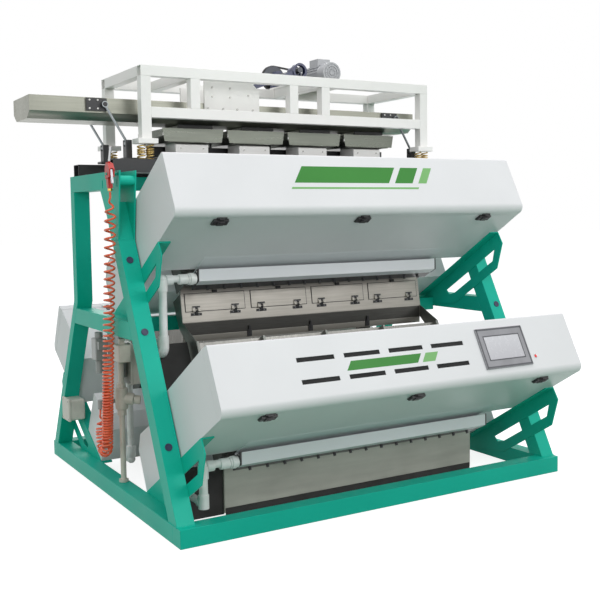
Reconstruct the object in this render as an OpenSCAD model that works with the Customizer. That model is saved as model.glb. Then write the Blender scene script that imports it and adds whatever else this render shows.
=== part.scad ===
// Optical colour sorter for grain: raked green tube frame, three white optics hoods with
// lift-up doors, stainless chutes, a reciprocating feed trough on inclined rods and a
// spring-mounted drive frame with motor, belt and crank.
// Millimetres, +X to the right, +Y to the back, +Z up, origin under the front sill's middle.

/* [Base frame] */
// Overall width of the base frame
base_w = 2100; // [1900:10:2300]
// Overall depth of the base frame
base_d = 1811; // [1740:1:1900]
// Side of the square frame tube
tube = 80; // [70:1:90]
// Wall of the frame tube
tube_wall = 4; // [3:0.5:6]
// Rake of posts, chutes and doors from the vertical
tilt = 27.5; // [26.5:0.25:28.5]
// Front edge of the front posts on top of the sill
post_foot_y = -8; // [-20:1:0]
// Height where the front web of a front post ends
head_z = 1235; // [1200:1:1270]
// Top face of the top side rails
top_rail_z = 1546; // [1520:1:1570]
// Top face of the middle side rails
mid_rail_z = 873; // [850:1:890]
// Rear face of the upright part of the rear posts
rear_post_y = 1295; // [1270:1:1320]
// Depth of the rear posts
rear_post_d = 60; // [50:1:70]
// Height of the bend in the rear posts
rear_bend_z = 911; // [900:1:950]
// Forward lean of a post head over its height
head_lean = 40; // [20:1:50]
// Depth of a post head at its top
head_d = 272; // [250:1:290]
// Thickness of welded plates
plate_t = 6; // [5:0.5:8]
// Side of the square cross tube
cross_tube = 70; // [60:1:76]
// Front face of the middle cross tube
cross_y = 865; // [855:1:875]

/* [Stages] */
// Nose of the upper hood, depth
nose_y = 123; // [110:1:136]
// Nose of the upper hood, height
nose_z = 1348; // [1340:1:1356]
// Distance along the rake between upper and lower stage
stage_pitch = 874; // [866:1:880]
// Height of a hood door along its face
door_h = 298; // [280:1:310]
// Depth of the door tray
door_d = 48; // [44:1:54]
// Radius of the door's lower nose
nose_r = 36; // [24:1:40]
// Radius of the door's top edge
brow_r = 10; // [6:1:16]
// Depth of a hood from door face to back panel
hood_d = 500; // [470:1:515]
// Extra fall of the hood's top and underside towards the back, degrees
hood_drop = 3.8; // [3:0.1:4.5]
// Side gap between hood and post
hood_gap = 5; // [3:0.5:10]
// Sheet thickness of hoods and doors
sheet = 2.5; // [2:0.25:4]
// Side position of the outer hood hinges and latches
hinge_x = 694; // [600:1:760]
// Depth of the closed camera box behind the chutes
box_d = 240; // [200:1:250]
// Height of the camera box along the rake
box_h = 200; // [160:1:210]

/* [Ears] */
// Length of an ear bracket along the hood's underside
ear_l = 745; // [715:1:755]
// Start of an ear behind the hood seam
ear_start = 180; // [165:1:200]
// Drop of the ear plate below the hood
ear_drop = 165; // [140:1:180]
// Width of the ear's folded flange
ear_flange = 60; // [50:1:64]

/* [Chutes] */
// Spacing of the lanes
lane_pitch = 356; // [340:1:370]
// Face of the chutes behind the door face
chute_y = 650; // [640:1:660]
// Thickness of a chute plate
chute_t = 4; // [3:0.5:6]
// Top of the upper chutes along the rake
upper_chute_top = 470; // [440:1:480]
// Top of the lower and rear chutes along the rake
lower_chute_top = 532; // [500:1:545]
// Width of a lane divider
divider_w = 12; // [8:1:20]
// Height of a lane divider
divider_h = 28; // [18:1:36]
// Height of the collector band
band_h = 175; // [160:1:185]
// Lower edge of the collector band, depth and height
band_y = 669; // [664:1:674]
band_z = 828; // [822:1:834]
// Back lean of the collector band
band_tilt = 9; // [7:0.5:11]
// Width and height of a band door
band_door_w = 318; // [290:1:326]
band_door_h = 84; // [70:1:92]
// Half the spacing of a band door's hinges
band_hinge_x = 105; // [80:1:120]

/* [Lamps and pipes] */
// Half length of a lamp housing
lamp_half = 692; // [660:1:710]
// Height of a lamp housing's front face
lamp_h = 52; // [44:1:60]
// Outside diameter of the plastic pipe
pipe_d = 34; // [28:1:40]
// Side position of the pipe drop
pipe_x = 865; // [850:1:870]
// Height of the upper pipe's level run
pipe_run_z = 752; // [740:1:754]
// Height of the hoppers' upper edge
hopper_top = 212; // [200:1:216]
// Width of a hopper's mouth
hopper_d = 80; // [70:1:84]

/* [Feeder] */
// Height of the black cross beams
beam_h = 64; // [56:1:72]
// Depth of the black cross beams
beam_d = 80; // [70:1:90]
// Front lip of the feeder trays
tray_y = 900; // [890:1:910]
// Length of a feeder tray
tray_l = 335; // [300:1:345]
// Width of a feeder tray
tray_w = 330; // [300:1:338]
// Wall height of a feeder tray
tray_h = 64; // [50:1:70]
// Width of a tray drive box
drive_w = 180; // [150:1:200]
// Height of a tray drive box
drive_h = 84; // [76:1:90]
// Left and right end of the feed trough
trough_left = 1348; // [1250:1:1400]
trough_right = 844; // [820:1:860]
// Width and depth of the feed trough
trough_w = 291; // [270:1:300]
trough_h = 105; // [95:1:115]
// Upper edge of the feed trough
trough_z = 1905; // [1900:1:1910]
// Lean of the swing rods from the vertical
rod_lean = 31; // [28:0.5:34]
// Length of a swing rod between pivots
rod_l = 210; // [204:1:214]
// Height of the lower rod pivots
rod_z = 1692; // [1688:1:1696]
// Side position of the left and right lower pivots
rod_left = 890; // [880:1:895]
rod_right = 815; // [805:1:820]

/* [Drive frame] */
// Width of the drive frame
top_w = 1706; // [1680:1:1730]
// Front and rear face of the drive frame
top_front = 776; // [770:1:782]
top_rear = 1343; // [1336:1:1350]
// Top face of the drive frame
top_z = 2055; // [2045:1:2065]
// Underside of the drive frame's feet
foot_z = 1685; // [1680:1:1690]
// Square tube of the drive frame
top_tube = 50; // [44:1:52]
// Top of the lower front rail
low_rail_z = 1860; // [1850:1:1864]
// Coil diameter of an isolation spring
spring_d = 42; // [36:1:44]
// Wire of an isolation spring
spring_wire = 7; // [5:0.5:8]
// Radius of the motor body
motor_r = 58; // [50:1:60]
// Length of the motor body
motor_l = 280; // [240:1:285]
// Motor shaft side position
motor_x = 382; // [370:1:400]
// Crank shaft side position
crank_x = 190; // [180:1:195]
// Radius of motor pulley and crank pulley
motor_pulley_r = 45; // [36:1:50]
crank_pulley_r = 66; // [56:1:68]
// Throw of the crank
crank_throw = 6; // [4:0.5:8]

/* [Touch screen] */
// Width and height of the screen bezel
screen_w = 284; // [260:1:300]
screen_h = 196; // [170:1:210]
// Left edge and lower edge of the bezel on the door
screen_x = 374; // [360:1:400]
screen_z = 56; // [50:1:66]
// Length and height of a vent slot
slot_w = 183; // [150:1:200]
slot_h = 20; // [12:1:24]

/* [Air line] */
// Coil diameter of the curly air hose
hose_d = 54; // [44:1:60]

/* [Hidden] */
$fn = 48;

green = [0.11, 0.62, 0.52];
white = [0.88, 0.88, 0.89];
steel = [0.74, 0.73, 0.70];
black = [0.12, 0.12, 0.13];
silver = [0.70, 0.71, 0.72];

lanes = 4;
weld_gap = 0.2;
slide_gap = 0.3;
pin_gap = 0.05;
cut = 1;

half_w = base_w / 2;
post_in = half_w - tube;
sill_half = tube / 2;
mid_y = base_d / 2 - sill_half;
post_run = tube / cos(tilt);
rail_z0 = top_rail_z - tube;
mid_z0 = mid_rail_z - tube;
head_front = post_front(head_z) - head_lean;
head_rear = head_front + head_d;
head_knee_z = head_z + (rail_z0 - head_z) * 0.45;
rear_foot_y = base_d - sill_half - tube * 0.28;
rear_slope = (rear_foot_y - rear_post_y) / (rear_bend_z - tube);

hood_half = post_in - hood_gap;
seam = 2;
shell_y = door_d + seam;
box_y = chute_y + 70;
lane_half = lanes * lane_pitch / 2;
lane_x = [for (i = [0:lanes - 1]) (i - (lanes - 1) / 2) * lane_pitch];
hinge_pin_r = 3;
hinge_r = 6;
hinge_l = 60;
leaf_t = 3;
hood_hinges_at = [-hinge_x, 0, hinge_x];

// Depth of the front posts' front edge and rear edge at a height
function post_front(z) = post_foot_y + (z - tube) * tan(tilt);
function post_back(z) = post_front(z) + post_run;
// Rear edge of the rear posts at a height
function rear_back(z) = rear_post_y + max(0, rear_bend_z - z) * rear_slope;
// Fall of the hood's top and underside at a depth behind the door face
function fall(y) = -(y - shell_y) * tan(hood_drop);

// Plate with a side outline of depth and height points, from x0 across w
module side_plate(x0, w, pts) {
    translate([x0, 0, 0])
        rotate([90, 0, 90])
            linear_extrude(w)
                polygon(pts);
}

// Box between two corners
module block(low, high) {
    translate(low)
        cube(high - low);
}

// Both hands of a left-right pair, made from the right-hand one
module both_sides() {
    children();
    mirror([1, 0, 0])
        children();
}

// Round bar along X, Y or Z
module bar_x(x0, x1, r) {
    translate([x0, 0, 0])
        rotate([0, 90, 0])
            cylinder(r = r, h = x1 - x0);
}
module bar_y(y0, y1, r) {
    translate([0, y0, 0])
        rotate([-90, 0, 0])
            cylinder(r = r, h = y1 - y0);
}

// Hollow square tube between two corners, open along one axis
module tube_between(low, high, wall, axis) {
    open = [for (i = [0:2]) i == axis ? -cut : wall];
    difference() {
        block(low, high);
        block(low + open, high - open);
    }
}

// Raked frame of a stage: 0 upper front, 1 lower front, 2 lower rear
module at_stage(stage) {
    if (stage == 2)
        translate([0, 2 * mid_y, 0])
            mirror([0, 1, 0])
                at_stage(1)
                    children();
    else
        translate([0, nose_y, nose_z])
            rotate([-tilt, 0, 0])
                translate([0, 0, -stage * stage_pitch])
                    children();
}

// Base frame
module front_sill() {
    wall = [tube_wall, tube_wall, tube_wall];
    color(green)
        difference() {
            block([-half_w, -sill_half, 0], [half_w, sill_half, tube]);
            block([-half_w, -sill_half, 0] + wall, [half_w, sill_half, tube] - wall);
        }
}

module base_sills() {
    rear = base_d - sill_half;
    wall = [tube_wall, tube_wall, tube_wall];
    color(green) {
        difference() {
            block([-half_w, rear - tube, 0], [half_w, rear, tube]);
            block([-half_w, rear - tube, 0] + wall, [half_w, rear, tube] - wall);
        }
        both_sides()
            tube_between([post_in, sill_half, 0], [half_w, rear - tube - weld_gap, tube], tube_wall, 1);
    }
}

module front_posts() {
    wall_run = tube_wall / cos(tilt);
    outer = [[post_front(tube), tube], [post_back(tube), tube],
        [post_back(head_z), head_z], [post_front(head_z), head_z]];
    low = tube - cut;
    high = head_z + cut;
    inner = [[post_front(low) + wall_run, low], [post_back(low) - wall_run, low],
        [post_back(high) - wall_run, high], [post_front(high) + wall_run, high]];
    color(green)
        both_sides()
            difference() {
                side_plate(post_in, tube, outer);
                side_plate(post_in + tube_wall, tube - 2 * tube_wall, inner);
            }
}

head_tube_r = 22;
head_slot_w = 10;
head_slot_l = 38;
head_slot_in = 36;
peg_r = 6;
peg_y = head_front + 32;
peg_z = top_rail_z - 16;
peg_l = 52;

// Two side plates, a rear web and a round spacer above each post, with the hook peg on the left
module post_heads() {
    outline = [[post_front(head_z), head_z], [head_front, top_rail_z], [head_rear, top_rail_z],
        [head_rear, rail_z0], [post_back(head_knee_z), head_knee_z], [post_back(head_z), head_z]];
    web = [[post_back(head_z) - plate_t, head_z], [post_back(head_z), head_z],
        [post_back(head_knee_z), head_knee_z], [post_back(head_knee_z) - plate_t, head_knee_z]];
    stub_z = head_z + (rail_z0 - head_z) * 0.75;
    stub = [[post_front(head_z), head_z], [post_front(head_z) + plate_t, head_z],
        [post_front(stub_z) + plate_t, stub_z], [post_front(stub_z), stub_z]];
    spacer_y = head_front + head_tube_r + plate_t;
    spacer_z = top_rail_z - 2 * head_tube_r;
    color(green) {
        both_sides() {
            difference() {
                side_plate(half_w - plate_t, plate_t, outline);
                for (y = [head_front + head_slot_in, head_rear - head_slot_in])
                    translate([half_w - plate_t - cut, y, top_rail_z - head_slot_l - head_slot_in])
                        head_slot();
            }
            side_plate(post_in, plate_t, outline);
            for (face = [web, stub])
                side_plate(post_in + plate_t + weld_gap, tube - 2 * plate_t - 2 * weld_gap, face);
            translate([0, spacer_y, spacer_z])
                bar_x(post_in + plate_t + weld_gap, half_w - plate_t - weld_gap, head_tube_r);
        }
        translate([0, peg_y, peg_z])
            bar_x(-half_w - peg_l, -half_w - weld_gap, peg_r);
    }
}

// Upright slot with round ends, cut through a head plate
module head_slot() {
    r = head_slot_w / 2;
    depth = plate_t + 2 * cut;
    translate([0, -r, r])
        cube([depth, head_slot_w, head_slot_l - head_slot_w]);
    for (z = [r, head_slot_l - r])
        translate([0, 0, z])
            bar_x(0, depth, r);
}

module rear_posts() {
    run = rear_post_d * sqrt(1 + rear_slope * rear_slope);
    wall_run = tube_wall * sqrt(1 + rear_slope * rear_slope);
    front = rear_post_y - rear_post_d;
    outer = [[front, rail_z0], [rear_post_y, rail_z0], [rear_post_y, rear_bend_z],
        [rear_foot_y, tube], [rear_foot_y - run, tube], [front, rear_bend_z]];
    inner = [[front + tube_wall, rail_z0 + cut], [rear_post_y - tube_wall, rail_z0 + cut],
        [rear_post_y - tube_wall, rear_bend_z], [rear_foot_y - wall_run, tube - cut],
        [rear_foot_y - run + wall_run, tube - cut], [front + tube_wall, rear_bend_z]];
    color(green)
        both_sides()
            difference() {
                side_plate(post_in, tube, outer);
                side_plate(post_in + tube_wall, tube - 2 * tube_wall, inner);
            }
}

// Depth of the rear posts' front edge at a height
function rear_front(z) = let (
    run = rear_post_d * sqrt(1 + rear_slope * rear_slope),
    foot = rear_foot_y - run,
    front = rear_post_y - rear_post_d)
    front + max(0, rear_bend_z - z) * (foot - front) / (rear_bend_z - tube);

module side_rails() {
    mid = [[post_back(mid_z0), mid_z0], [post_back(mid_rail_z), mid_rail_z],
        [rear_front(mid_rail_z), mid_rail_z], [rear_front(mid_z0), mid_z0]];
    mid_in = [[post_back(mid_z0) - cut, mid_z0 + tube_wall],
        [post_back(mid_rail_z) - cut, mid_rail_z - tube_wall],
        [rear_front(mid_rail_z) + tube, mid_rail_z - tube_wall],
        [rear_front(mid_z0) + tube, mid_z0 + tube_wall]];
    color(green)
        both_sides() {
            difference() {
                block([post_in, head_rear, rail_z0], [half_w, rear_post_y, top_rail_z]);
                block([post_in + tube_wall, head_rear - cut, rail_z0 + tube_wall],
                    [half_w - tube_wall, rear_post_y - tube_wall, top_rail_z - tube_wall]);
            }
            difference() {
                side_plate(post_in, tube, mid);
                side_plate(post_in + tube_wall, tube - 2 * tube_wall, mid_in);
            }
        }
}

cross_drop = 30;

// Tubes across the frame at the middle rails and the rear of the top rails
module cross_tubes() {
    mid_top = mid_rail_z - cross_drop;
    mid_half = post_in - plate_t - weld_gap;
    color(green) {
        tube_between([-mid_half, cross_y, mid_top - cross_tube],
            [mid_half, cross_y + cross_tube, mid_top], tube_wall, 0);
        tube_between([-post_in, rear_post_y - cross_tube, top_rail_z - cross_tube],
            [post_in, rear_post_y, top_rail_z], tube_wall, 0);
    }
}

// Bracket plate inside each post with a grip opening and a flange that carries hood and camera box
module ear_brackets() {
    tip = ear_drop * 0.42;
    tail = ear_drop * 0.36;
    rim = 34;
    reach = ear_start + ear_l;
    slot_high = -2 * rim;
    slot_low = -ear_drop + 1.5 * rim;
    outline = [[ear_start, 0], [ear_start, -tip], [ear_start + 3.1 * rim, -ear_drop],
        [ear_start + 15 * rim, -ear_drop], [reach, -tail], [reach, 0]];
    window = [[ear_start + 2.1 * rim, slot_high], [ear_start + 3.4 * rim, slot_low],
        [ear_start + 14.2 * rim, slot_low], [ear_start + 15.6 * rim, 0.3 * slot_high + 0.7 * slot_low],
        [ear_start + 15.8 * rim, slot_high]];
    color(green)
        for (stage = [0:2])
            at_stage(stage)
                translate([0, shell_y, 0])
                    rotate([-hood_drop, 0, 0])
                        both_sides() {
                            difference() {
                                side_plate(post_in - plate_t, plate_t, outline);
                                side_plate(post_in - plate_t - cut, plate_t + 2 * cut, window);
                            }
                            side_plate(post_in - ear_flange, ear_flange - plate_t - weld_gap,
                                [[ear_start + weld_gap, 0], [reach, 0],
                                [reach, -plate_t], [ear_start + weld_gap, -plate_t]]);
                        }
}

// Hoods: five welded sheets, open at the front where the door sits
module hood_shell() {
    back = fall(hood_d);
    inner = hood_half - sheet - weld_gap;
    inset = sheet + weld_gap;
    color(white) {
        side_plate(-inner, 2 * inner, [[shell_y, door_h], [hood_d, door_h + back],
            [hood_d, door_h + back - sheet], [shell_y, door_h - sheet]]);
        side_plate(-inner, 2 * inner, [[shell_y, 0], [hood_d, back],
            [hood_d, back + sheet], [shell_y, sheet]]);
        side_plate(-inner, 2 * inner, [[hood_d - sheet, back + inset], [hood_d, back + inset],
            [hood_d, door_h + back - inset], [hood_d - sheet, door_h + back - inset]]);
        both_sides()
            side_plate(hood_half - sheet, sheet, [[shell_y, 0], [shell_y, door_h],
                [hood_d, door_h + back], [hood_d, back]]);
    }
}

module upper_hood_shell() {
    at_stage(0)
        hood_shell();
}

module lower_hood_shell() {
    at_stage(1)
        hood_shell();
}

module rear_hood_shell() {
    at_stage(2)
        hood_shell();
}

// Outline of a door tray inset by a wall: flat face, rounded nose and brow, open to the back
module door_outline(inset, back) {
    low_r = nose_r - inset;
    top_r = brow_r - inset;
    intersection() {
        square([back, door_h]);
        union() {
            translate([nose_r, inset])
                square([back - nose_r, door_h - 2 * inset]);
            translate([brow_r, nose_r])
                square([nose_r - brow_r, door_h - nose_r - inset]);
            translate([inset, nose_r])
                square([brow_r - inset, door_h - nose_r - brow_r]);
            translate([nose_r, nose_r])
                circle(low_r);
            translate([brow_r, door_h - brow_r])
                circle(top_r);
        }
    }
}

// Extrudes an outline of depth and height along X about the middle
module across(width) {
    translate([-width / 2, 0, 0])
        rotate([90, 0, 90])
            linear_extrude(width)
                children();
}

pin_y = door_d + seam / 2;
pin_z = door_h + hinge_r + slide_gap;
knuckle = hinge_l / 3;
leaf_l = 30;

// Folded tray with hinge knuckles on its top edge
module hood_door() {
    color(white)
        difference() {
            union() {
                difference() {
                    across(2 * hood_half)
                        door_outline(0, door_d);
                    across(2 * (hood_half - sheet))
                        door_outline(sheet, door_d + cut);
                }
                for (x = hood_hinges_at) {
                    for (side = [-1, 1])
                        translate([x + side * (knuckle + slide_gap), pin_y, pin_z])
                            bar_x(-knuckle / 2 + slide_gap, knuckle / 2 - slide_gap, hinge_r);
                    for (side = [-1, 1])
                        translate([x + side * (knuckle + slide_gap) - knuckle / 2 + slide_gap,
                                pin_y - leaf_l, door_h - sheet / 2])
                            cube([knuckle - 2 * slide_gap, leaf_l, leaf_t + slide_gap + sheet / 2]);
                }
            }
            for (x = hood_hinges_at)
                translate([x, pin_y, pin_z])
                    bar_x(-hinge_l, hinge_l, hinge_pin_r + pin_gap);
            translate([-hood_half, door_d, -cut])
                cube([2 * hood_half, seam, door_h + cut]);
        }
}

module upper_hood_door() {
    at_stage(0)
        hood_door();
}

slot_pitch = slot_w + 48;
slot_first = screen_x - 85 - 4 * slot_w - 3 * (slot_pitch - slot_w);
slot_rows = [0.305 * door_h, 0.625 * door_h];

// Lower front door with two rows of vent slots beside the screen
module lower_hood_door() {
    color(white)
        at_stage(1)
            difference() {
                hood_door();
                for (z = slot_rows)
                    for (i = [0:3])
                        translate([slot_first + i * slot_pitch, -cut, z])
                            cube([slot_w, sheet + 2 * cut, slot_h]);
            }
}

module rear_hood_door() {
    at_stage(2)
        hood_door();
}

// Fixed leaf, middle knuckle and pin of every hood hinge
module hood_hinges() {
    pin_half = hinge_l / 2 + slide_gap;
    color(black)
        for (stage = [0:2])
            at_stage(stage)
                for (x = hood_hinges_at) {
                    translate([x, pin_y, pin_z]) {
                        bar_x(-pin_half, pin_half, hinge_pin_r);
                        bar_x(-knuckle / 2, knuckle / 2, hinge_r);
                    }
                    side_plate(x - knuckle / 2, knuckle, [[shell_y, door_h],
                        [shell_y + leaf_l, door_h + fall(shell_y + leaf_l)],
                        [shell_y + leaf_l, door_h + fall(shell_y + leaf_l) + leaf_t],
                        [shell_y, door_h + leaf_t + hinge_r]]);
                }
}

latch_w = 72;
latch_l = 46;
latch_t = 12;
latch_top = 9;
latch_x = hinge_x + 46;

// Catches under the hood seams, and one above each band door
module latches() {
    color(black) {
        for (stage = [0:2])
            at_stage(stage)
                for (x = [-latch_x, 0, latch_x])
                    side_plate(x - latch_w / 2, latch_w, [[shell_y, 0],
                        [shell_y + latch_l, fall(shell_y + latch_l)],
                        [shell_y + latch_l - latch_t, fall(shell_y + latch_l) - latch_t],
                        [shell_y, -latch_t]]);
        at_band()
            for (x = lane_x)
                translate([x - latch_w / 6, -latch_top, band_door_z + band_door_h + slide_gap])
                    cube([latch_w / 3, latch_top, latch_t + leaf_t]);
    }
}

bezel_t = 8;
bezel_side = 38;
bezel_end = 32;
glass_t = 3;

module touch_screen() {
    color([0.4, 0.41, 0.43])
        at_stage(1)
            difference() {
                translate([screen_x, -bezel_t, screen_z])
                    cube([screen_w, bezel_t, screen_h]);
                translate([screen_x + bezel_end, -bezel_t - cut, screen_z + bezel_side])
                    cube([screen_w - 2 * bezel_end, glass_t + cut, screen_h - 2 * bezel_side]);
            }
}

module screen_glass() {
    color([0.8, 0.8, 0.82])
        at_stage(1)
            translate([screen_x + bezel_end, -bezel_t, screen_z + bezel_side])
                cube([screen_w - 2 * bezel_end, glass_t, screen_h - 2 * bezel_side]);
}

lamp_button_r = 7;

module indicator_lamp() {
    color("firebrick")
        at_stage(1)
            translate([screen_x + screen_w + 5 * lamp_button_r, 0, screen_z + 5.5 * lamp_button_r])
                rotate([90, 0, 0]) {
                    cylinder(r = lamp_button_r, h = lamp_button_r / 2);
                    translate([0, 0, lamp_button_r / 2])
                        cylinder(r1 = lamp_button_r * 0.8, r2 = lamp_button_r * 0.5, h = lamp_button_r / 3);
                }
}

// Optics
lamp_back = hood_d + 35;
lamp_front = hood_d - 35;
lamp_lip = lamp_front - 80;
lamp_rise = 17;
cap_t = 8;

function lamp_profile(wall) = let (
    top = fall(lamp_front) - lamp_rise,
    bottom = top - lamp_h)
    [[lamp_lip + 4 * wall, fall(lamp_lip + 4 * wall) - wall], [lamp_front + wall, top - wall],
    [lamp_front + lamp_h / 2 + wall, bottom + wall], [lamp_back - wall, bottom + wall],
    [lamp_back - wall, fall(lamp_back) - wall]];

// Extruded aluminium lamp channels under the rear edge of each hood
module lamp_housings() {
    color(silver)
        for (stage = [0:2])
            at_stage(stage)
                difference() {
                    side_plate(-lamp_half, 2 * lamp_half, lamp_profile(0));
                    side_plate(-lamp_half - cut, 2 * lamp_half + 2 * cut, lamp_profile(sheet));
                }
}

module lamp_end_caps() {
    top = fall(lamp_front) - lamp_rise;
    bottom = top - lamp_h;
    color(black)
        for (stage = [0:2])
            at_stage(stage)
                both_sides()
                    side_plate(lamp_half, cap_t, [[lamp_front, top], [lamp_back, top],
                        [lamp_back, bottom], [lamp_front + lamp_h / 2, bottom]]);
}

camera_w = 110;
camera_l = 130;
camera_h = 90;
lens_r = 26;
lens_l = 40;

// Line-scan cameras on the inside of each hood's back panel, one to a pair of lanes
module camera_units() {
    mid = door_h / 2 + fall(hood_d);
    front = hood_d - sheet - lens_l - camera_l;
    color(black)
        for (stage = [0:2])
            at_stage(stage)
                for (x = [-lane_pitch, lane_pitch]) {
                    translate([x - camera_w / 2, front, mid - camera_h / 2])
                        cube([camera_w, camera_l, camera_h]);
                    translate([x, 0, mid])
                        bar_y(front + camera_l, hood_d - sheet, lens_r);
                }
}

function camera_box_profile(wall) = let (
    rear = box_y + box_d,
    bevel = box_d / 4,
    near = box_y + wall,
    far = rear - wall,
    top = box_h - wall)
    [[near, fall(near) + wall], [far, fall(far) + wall], [far, box_h - bevel],
    [rear - bevel, top], [near, top]];

// Closed rear camera housings behind the chutes, resting on the ears
module camera_boxes() {
    color(black)
        for (stage = [0:2])
            at_stage(stage)
                difference() {
                    side_plate(-hood_half, 2 * hood_half, camera_box_profile(0));
                    side_plate(-hood_half + sheet, 2 * (hood_half - sheet), camera_box_profile(sheet));
                }
}

chute_end = -20;

function chute_top(stage) = stage == 0 ? upper_chute_top : lower_chute_top;

module chutes() {
    color(steel)
        for (stage = [0:2])
            at_stage(stage)
                for (x = lane_x)
                    translate([x - lane_pitch / 2 + weld_gap, chute_y, chute_end])
                        cube([lane_pitch - 2 * weld_gap, chute_t, chute_top(stage) - chute_end]);
}

module chute_dividers() {
    color(steel)
        for (stage = [0:2])
            at_stage(stage)
                for (i = [0:lanes]) {
                    inward = i == 0 ? 1 : i == lanes ? -1 : 0;
                    translate([(i - lanes / 2) * lane_pitch + (inward - 1) * divider_w / 2,
                            chute_y - divider_h, chute_end])
                        cube([divider_w, divider_h, chute_top(stage) - chute_end]);
                }
}

side_t = 3;
side_low = -60;
wing_w = 60;
function band_edge(h) = let (
    dy = band_y + h * sin(band_tilt) - nose_y,
    dz = band_z + h * cos(band_tilt) - nose_z)
    [cos(tilt) * dy - sin(tilt) * dz, sin(tilt) * dy + cos(tilt) * dz + stage_pitch];

// Cheeks that carry the chutes off the camera boxes
module chute_side_plates() {
    color(steel)
        for (stage = [0:2]) {
            front = chute_y - divider_h;
            high = chute_top(stage);
            wing = band_edge(0.8 * band_h);
            rise = stage == 1 ? [[box_y + wing_w, band_edge(0)[1]], [box_y + wing_w, wing[1]], wing,
                band_edge(0)] : [];
            at_stage(stage)
                both_sides()
                    side_plate(lane_half, side_t, concat([[front, side_low], [box_y, side_low],
                        [box_y, high]], rise, [[front, high]]));
        }
}

ejector_d = 55;
ejector_h = 40;
valve_pitch = 89;
valve_r = 7;

// Air manifold bars behind the lamps with a row of valve bodies on their underside
module ejector_bars() {
    bottom = fall(lamp_front) - lamp_rise - lamp_h;
    count = floor(2 * lamp_half / valve_pitch);
    color(silver)
        for (stage = [0:2])
            at_stage(stage) {
                translate([-lamp_half, lamp_back, bottom])
                    cube([2 * lamp_half, ejector_d, ejector_h]);
                for (i = [0:count - 1])
                    translate([(i - (count - 1) / 2) * valve_pitch, lamp_back + ejector_d / 2,
                            bottom - 2 * valve_r])
                        cylinder(r = valve_r, h = 2 * valve_r);
            }
}

// Collector band between the stages with four drop-down doors
band_t = 3;
band_door_z = 0.3 * band_h;
band_door_t = 3;
band_pin_r = 2;
band_knuckle_r = 4.5;
band_knuckle = 14;
band_lip = 14;
apron_h = 95;
apron_set = 2;

module at_band() {
    translate([0, band_y, band_z])
        rotate([-band_tilt, 0, 0])
            children();
}

module collector_band() {
    color(steel) {
        block([-lane_half, band_y + apron_set, band_z - apron_h],
            [lane_half, band_y + apron_set + band_t, band_z - weld_gap]);
        at_band()
            difference() {
                translate([-lane_half, 0, 0])
                    cube([2 * lane_half, band_t, band_h]);
                for (x = lane_x)
                    translate([x - band_door_w / 2 + band_lip, -cut, band_door_z + band_lip])
                        cube([band_door_w - 2 * band_lip, band_t + 2 * cut, band_door_h - 2 * band_lip]);
            }
    }
}

band_pin_y = -band_door_t - band_knuckle_r;
band_leaf_h = 22;

// Fixed leaf, middle knuckle and pin under each end of each band door
module band_hinges() {
    pin_half = 1.5 * band_knuckle + slide_gap;
    color(black)
        at_band()
            for (door = lane_x)
                for (side = [-1, 1])
                    translate([door + side * band_hinge_x, 0, band_door_z]) {
                        translate([0, band_pin_y, 0]) {
                            bar_x(-pin_half, pin_half, band_pin_r);
                            bar_x(-band_knuckle / 2, band_knuckle / 2, band_knuckle_r);
                        }
                        side_plate(-band_knuckle / 2, band_knuckle, [[0, 0], [0, -band_leaf_h],
                            [-leaf_t, -band_leaf_h], [band_pin_y, -band_knuckle_r], [band_pin_y, 0]]);
                        side_plate(-2 * band_knuckle, 4 * band_knuckle, [[0, -2 * band_knuckle_r],
                            [0, -band_leaf_h], [-leaf_t, -band_leaf_h], [-leaf_t, -2 * band_knuckle_r]]);
                    }
}

// One drop-down door with its outer knuckles
module band_door(lane) {
    color(steel)
        at_band()
            translate([lane_x[lane], 0, 0])
                difference() {
                    union() {
                        translate([-band_door_w / 2, -band_door_t, band_door_z + slide_gap])
                            cube([band_door_w, band_door_t, band_door_h - slide_gap]);
                        for (side = [-1, 1])
                            for (end = [-1, 1])
                                translate([side * band_hinge_x + end * (band_knuckle + slide_gap), 0,
                                        band_door_z])
                                    band_knuckle_leaf();
                    }
                    for (side = [-1, 1])
                        translate([side * band_hinge_x, band_pin_y, band_door_z])
                            bar_x(-2 * band_knuckle, 2 * band_knuckle, band_pin_r + pin_gap);
                }
}

// Knuckle and leaf of a band door, standing proud of the door's face
module band_knuckle_leaf() {
    half = band_knuckle / 2 - slide_gap / 2;
    translate([0, band_pin_y, 0])
        bar_x(-half, half, band_knuckle_r);
    side_plate(-half, 2 * half, [[band_pin_y, 0], [-band_door_t, band_knuckle_r],
        [-band_door_t, band_leaf_h], [-band_door_t - leaf_t, band_leaf_h],
        [band_pin_y - band_knuckle_r, 0]]);
}

module band_door_1() {
    band_door(0);
}
module band_door_2() {
    band_door(1);
}
module band_door_3() {
    band_door(2);
}
module band_door_4() {
    band_door(3);
}

hopper_low = 12;
hopper_gap = 7;

// Stainless outlet boxes under the lower chutes, open at top and bottom
module outlet_hoppers() {
    color(steel)
        for (rear = [0, 1])
            translate([0, rear * 2 * mid_y, 0])
                mirror([0, rear, 0]) {
                    for (y = [hopper_back() - hopper_d, hopper_back() - side_t])
                        block([-lane_half + side_t + weld_gap, y, hopper_low],
                            [lane_half - side_t - weld_gap, y + side_t, hopper_top]);
                    both_sides()
                        block([lane_half - side_t, hopper_back() - hopper_d, hopper_low],
                            [lane_half, hopper_back(), hopper_top]);
                }
}

// World depth of the rear wall of the front hopper: just before the camera box's lower edge
function hopper_back() = nose_y + cos(tilt) * box_y
    + sin(tilt) * (fall(box_y) - stage_pitch) - hopper_gap;

// Plastic cable pipes from the lamp ends
pipe_r = pipe_d / 2;
fitting_r = pipe_r + 4;
fitting_l = 40;

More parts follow.
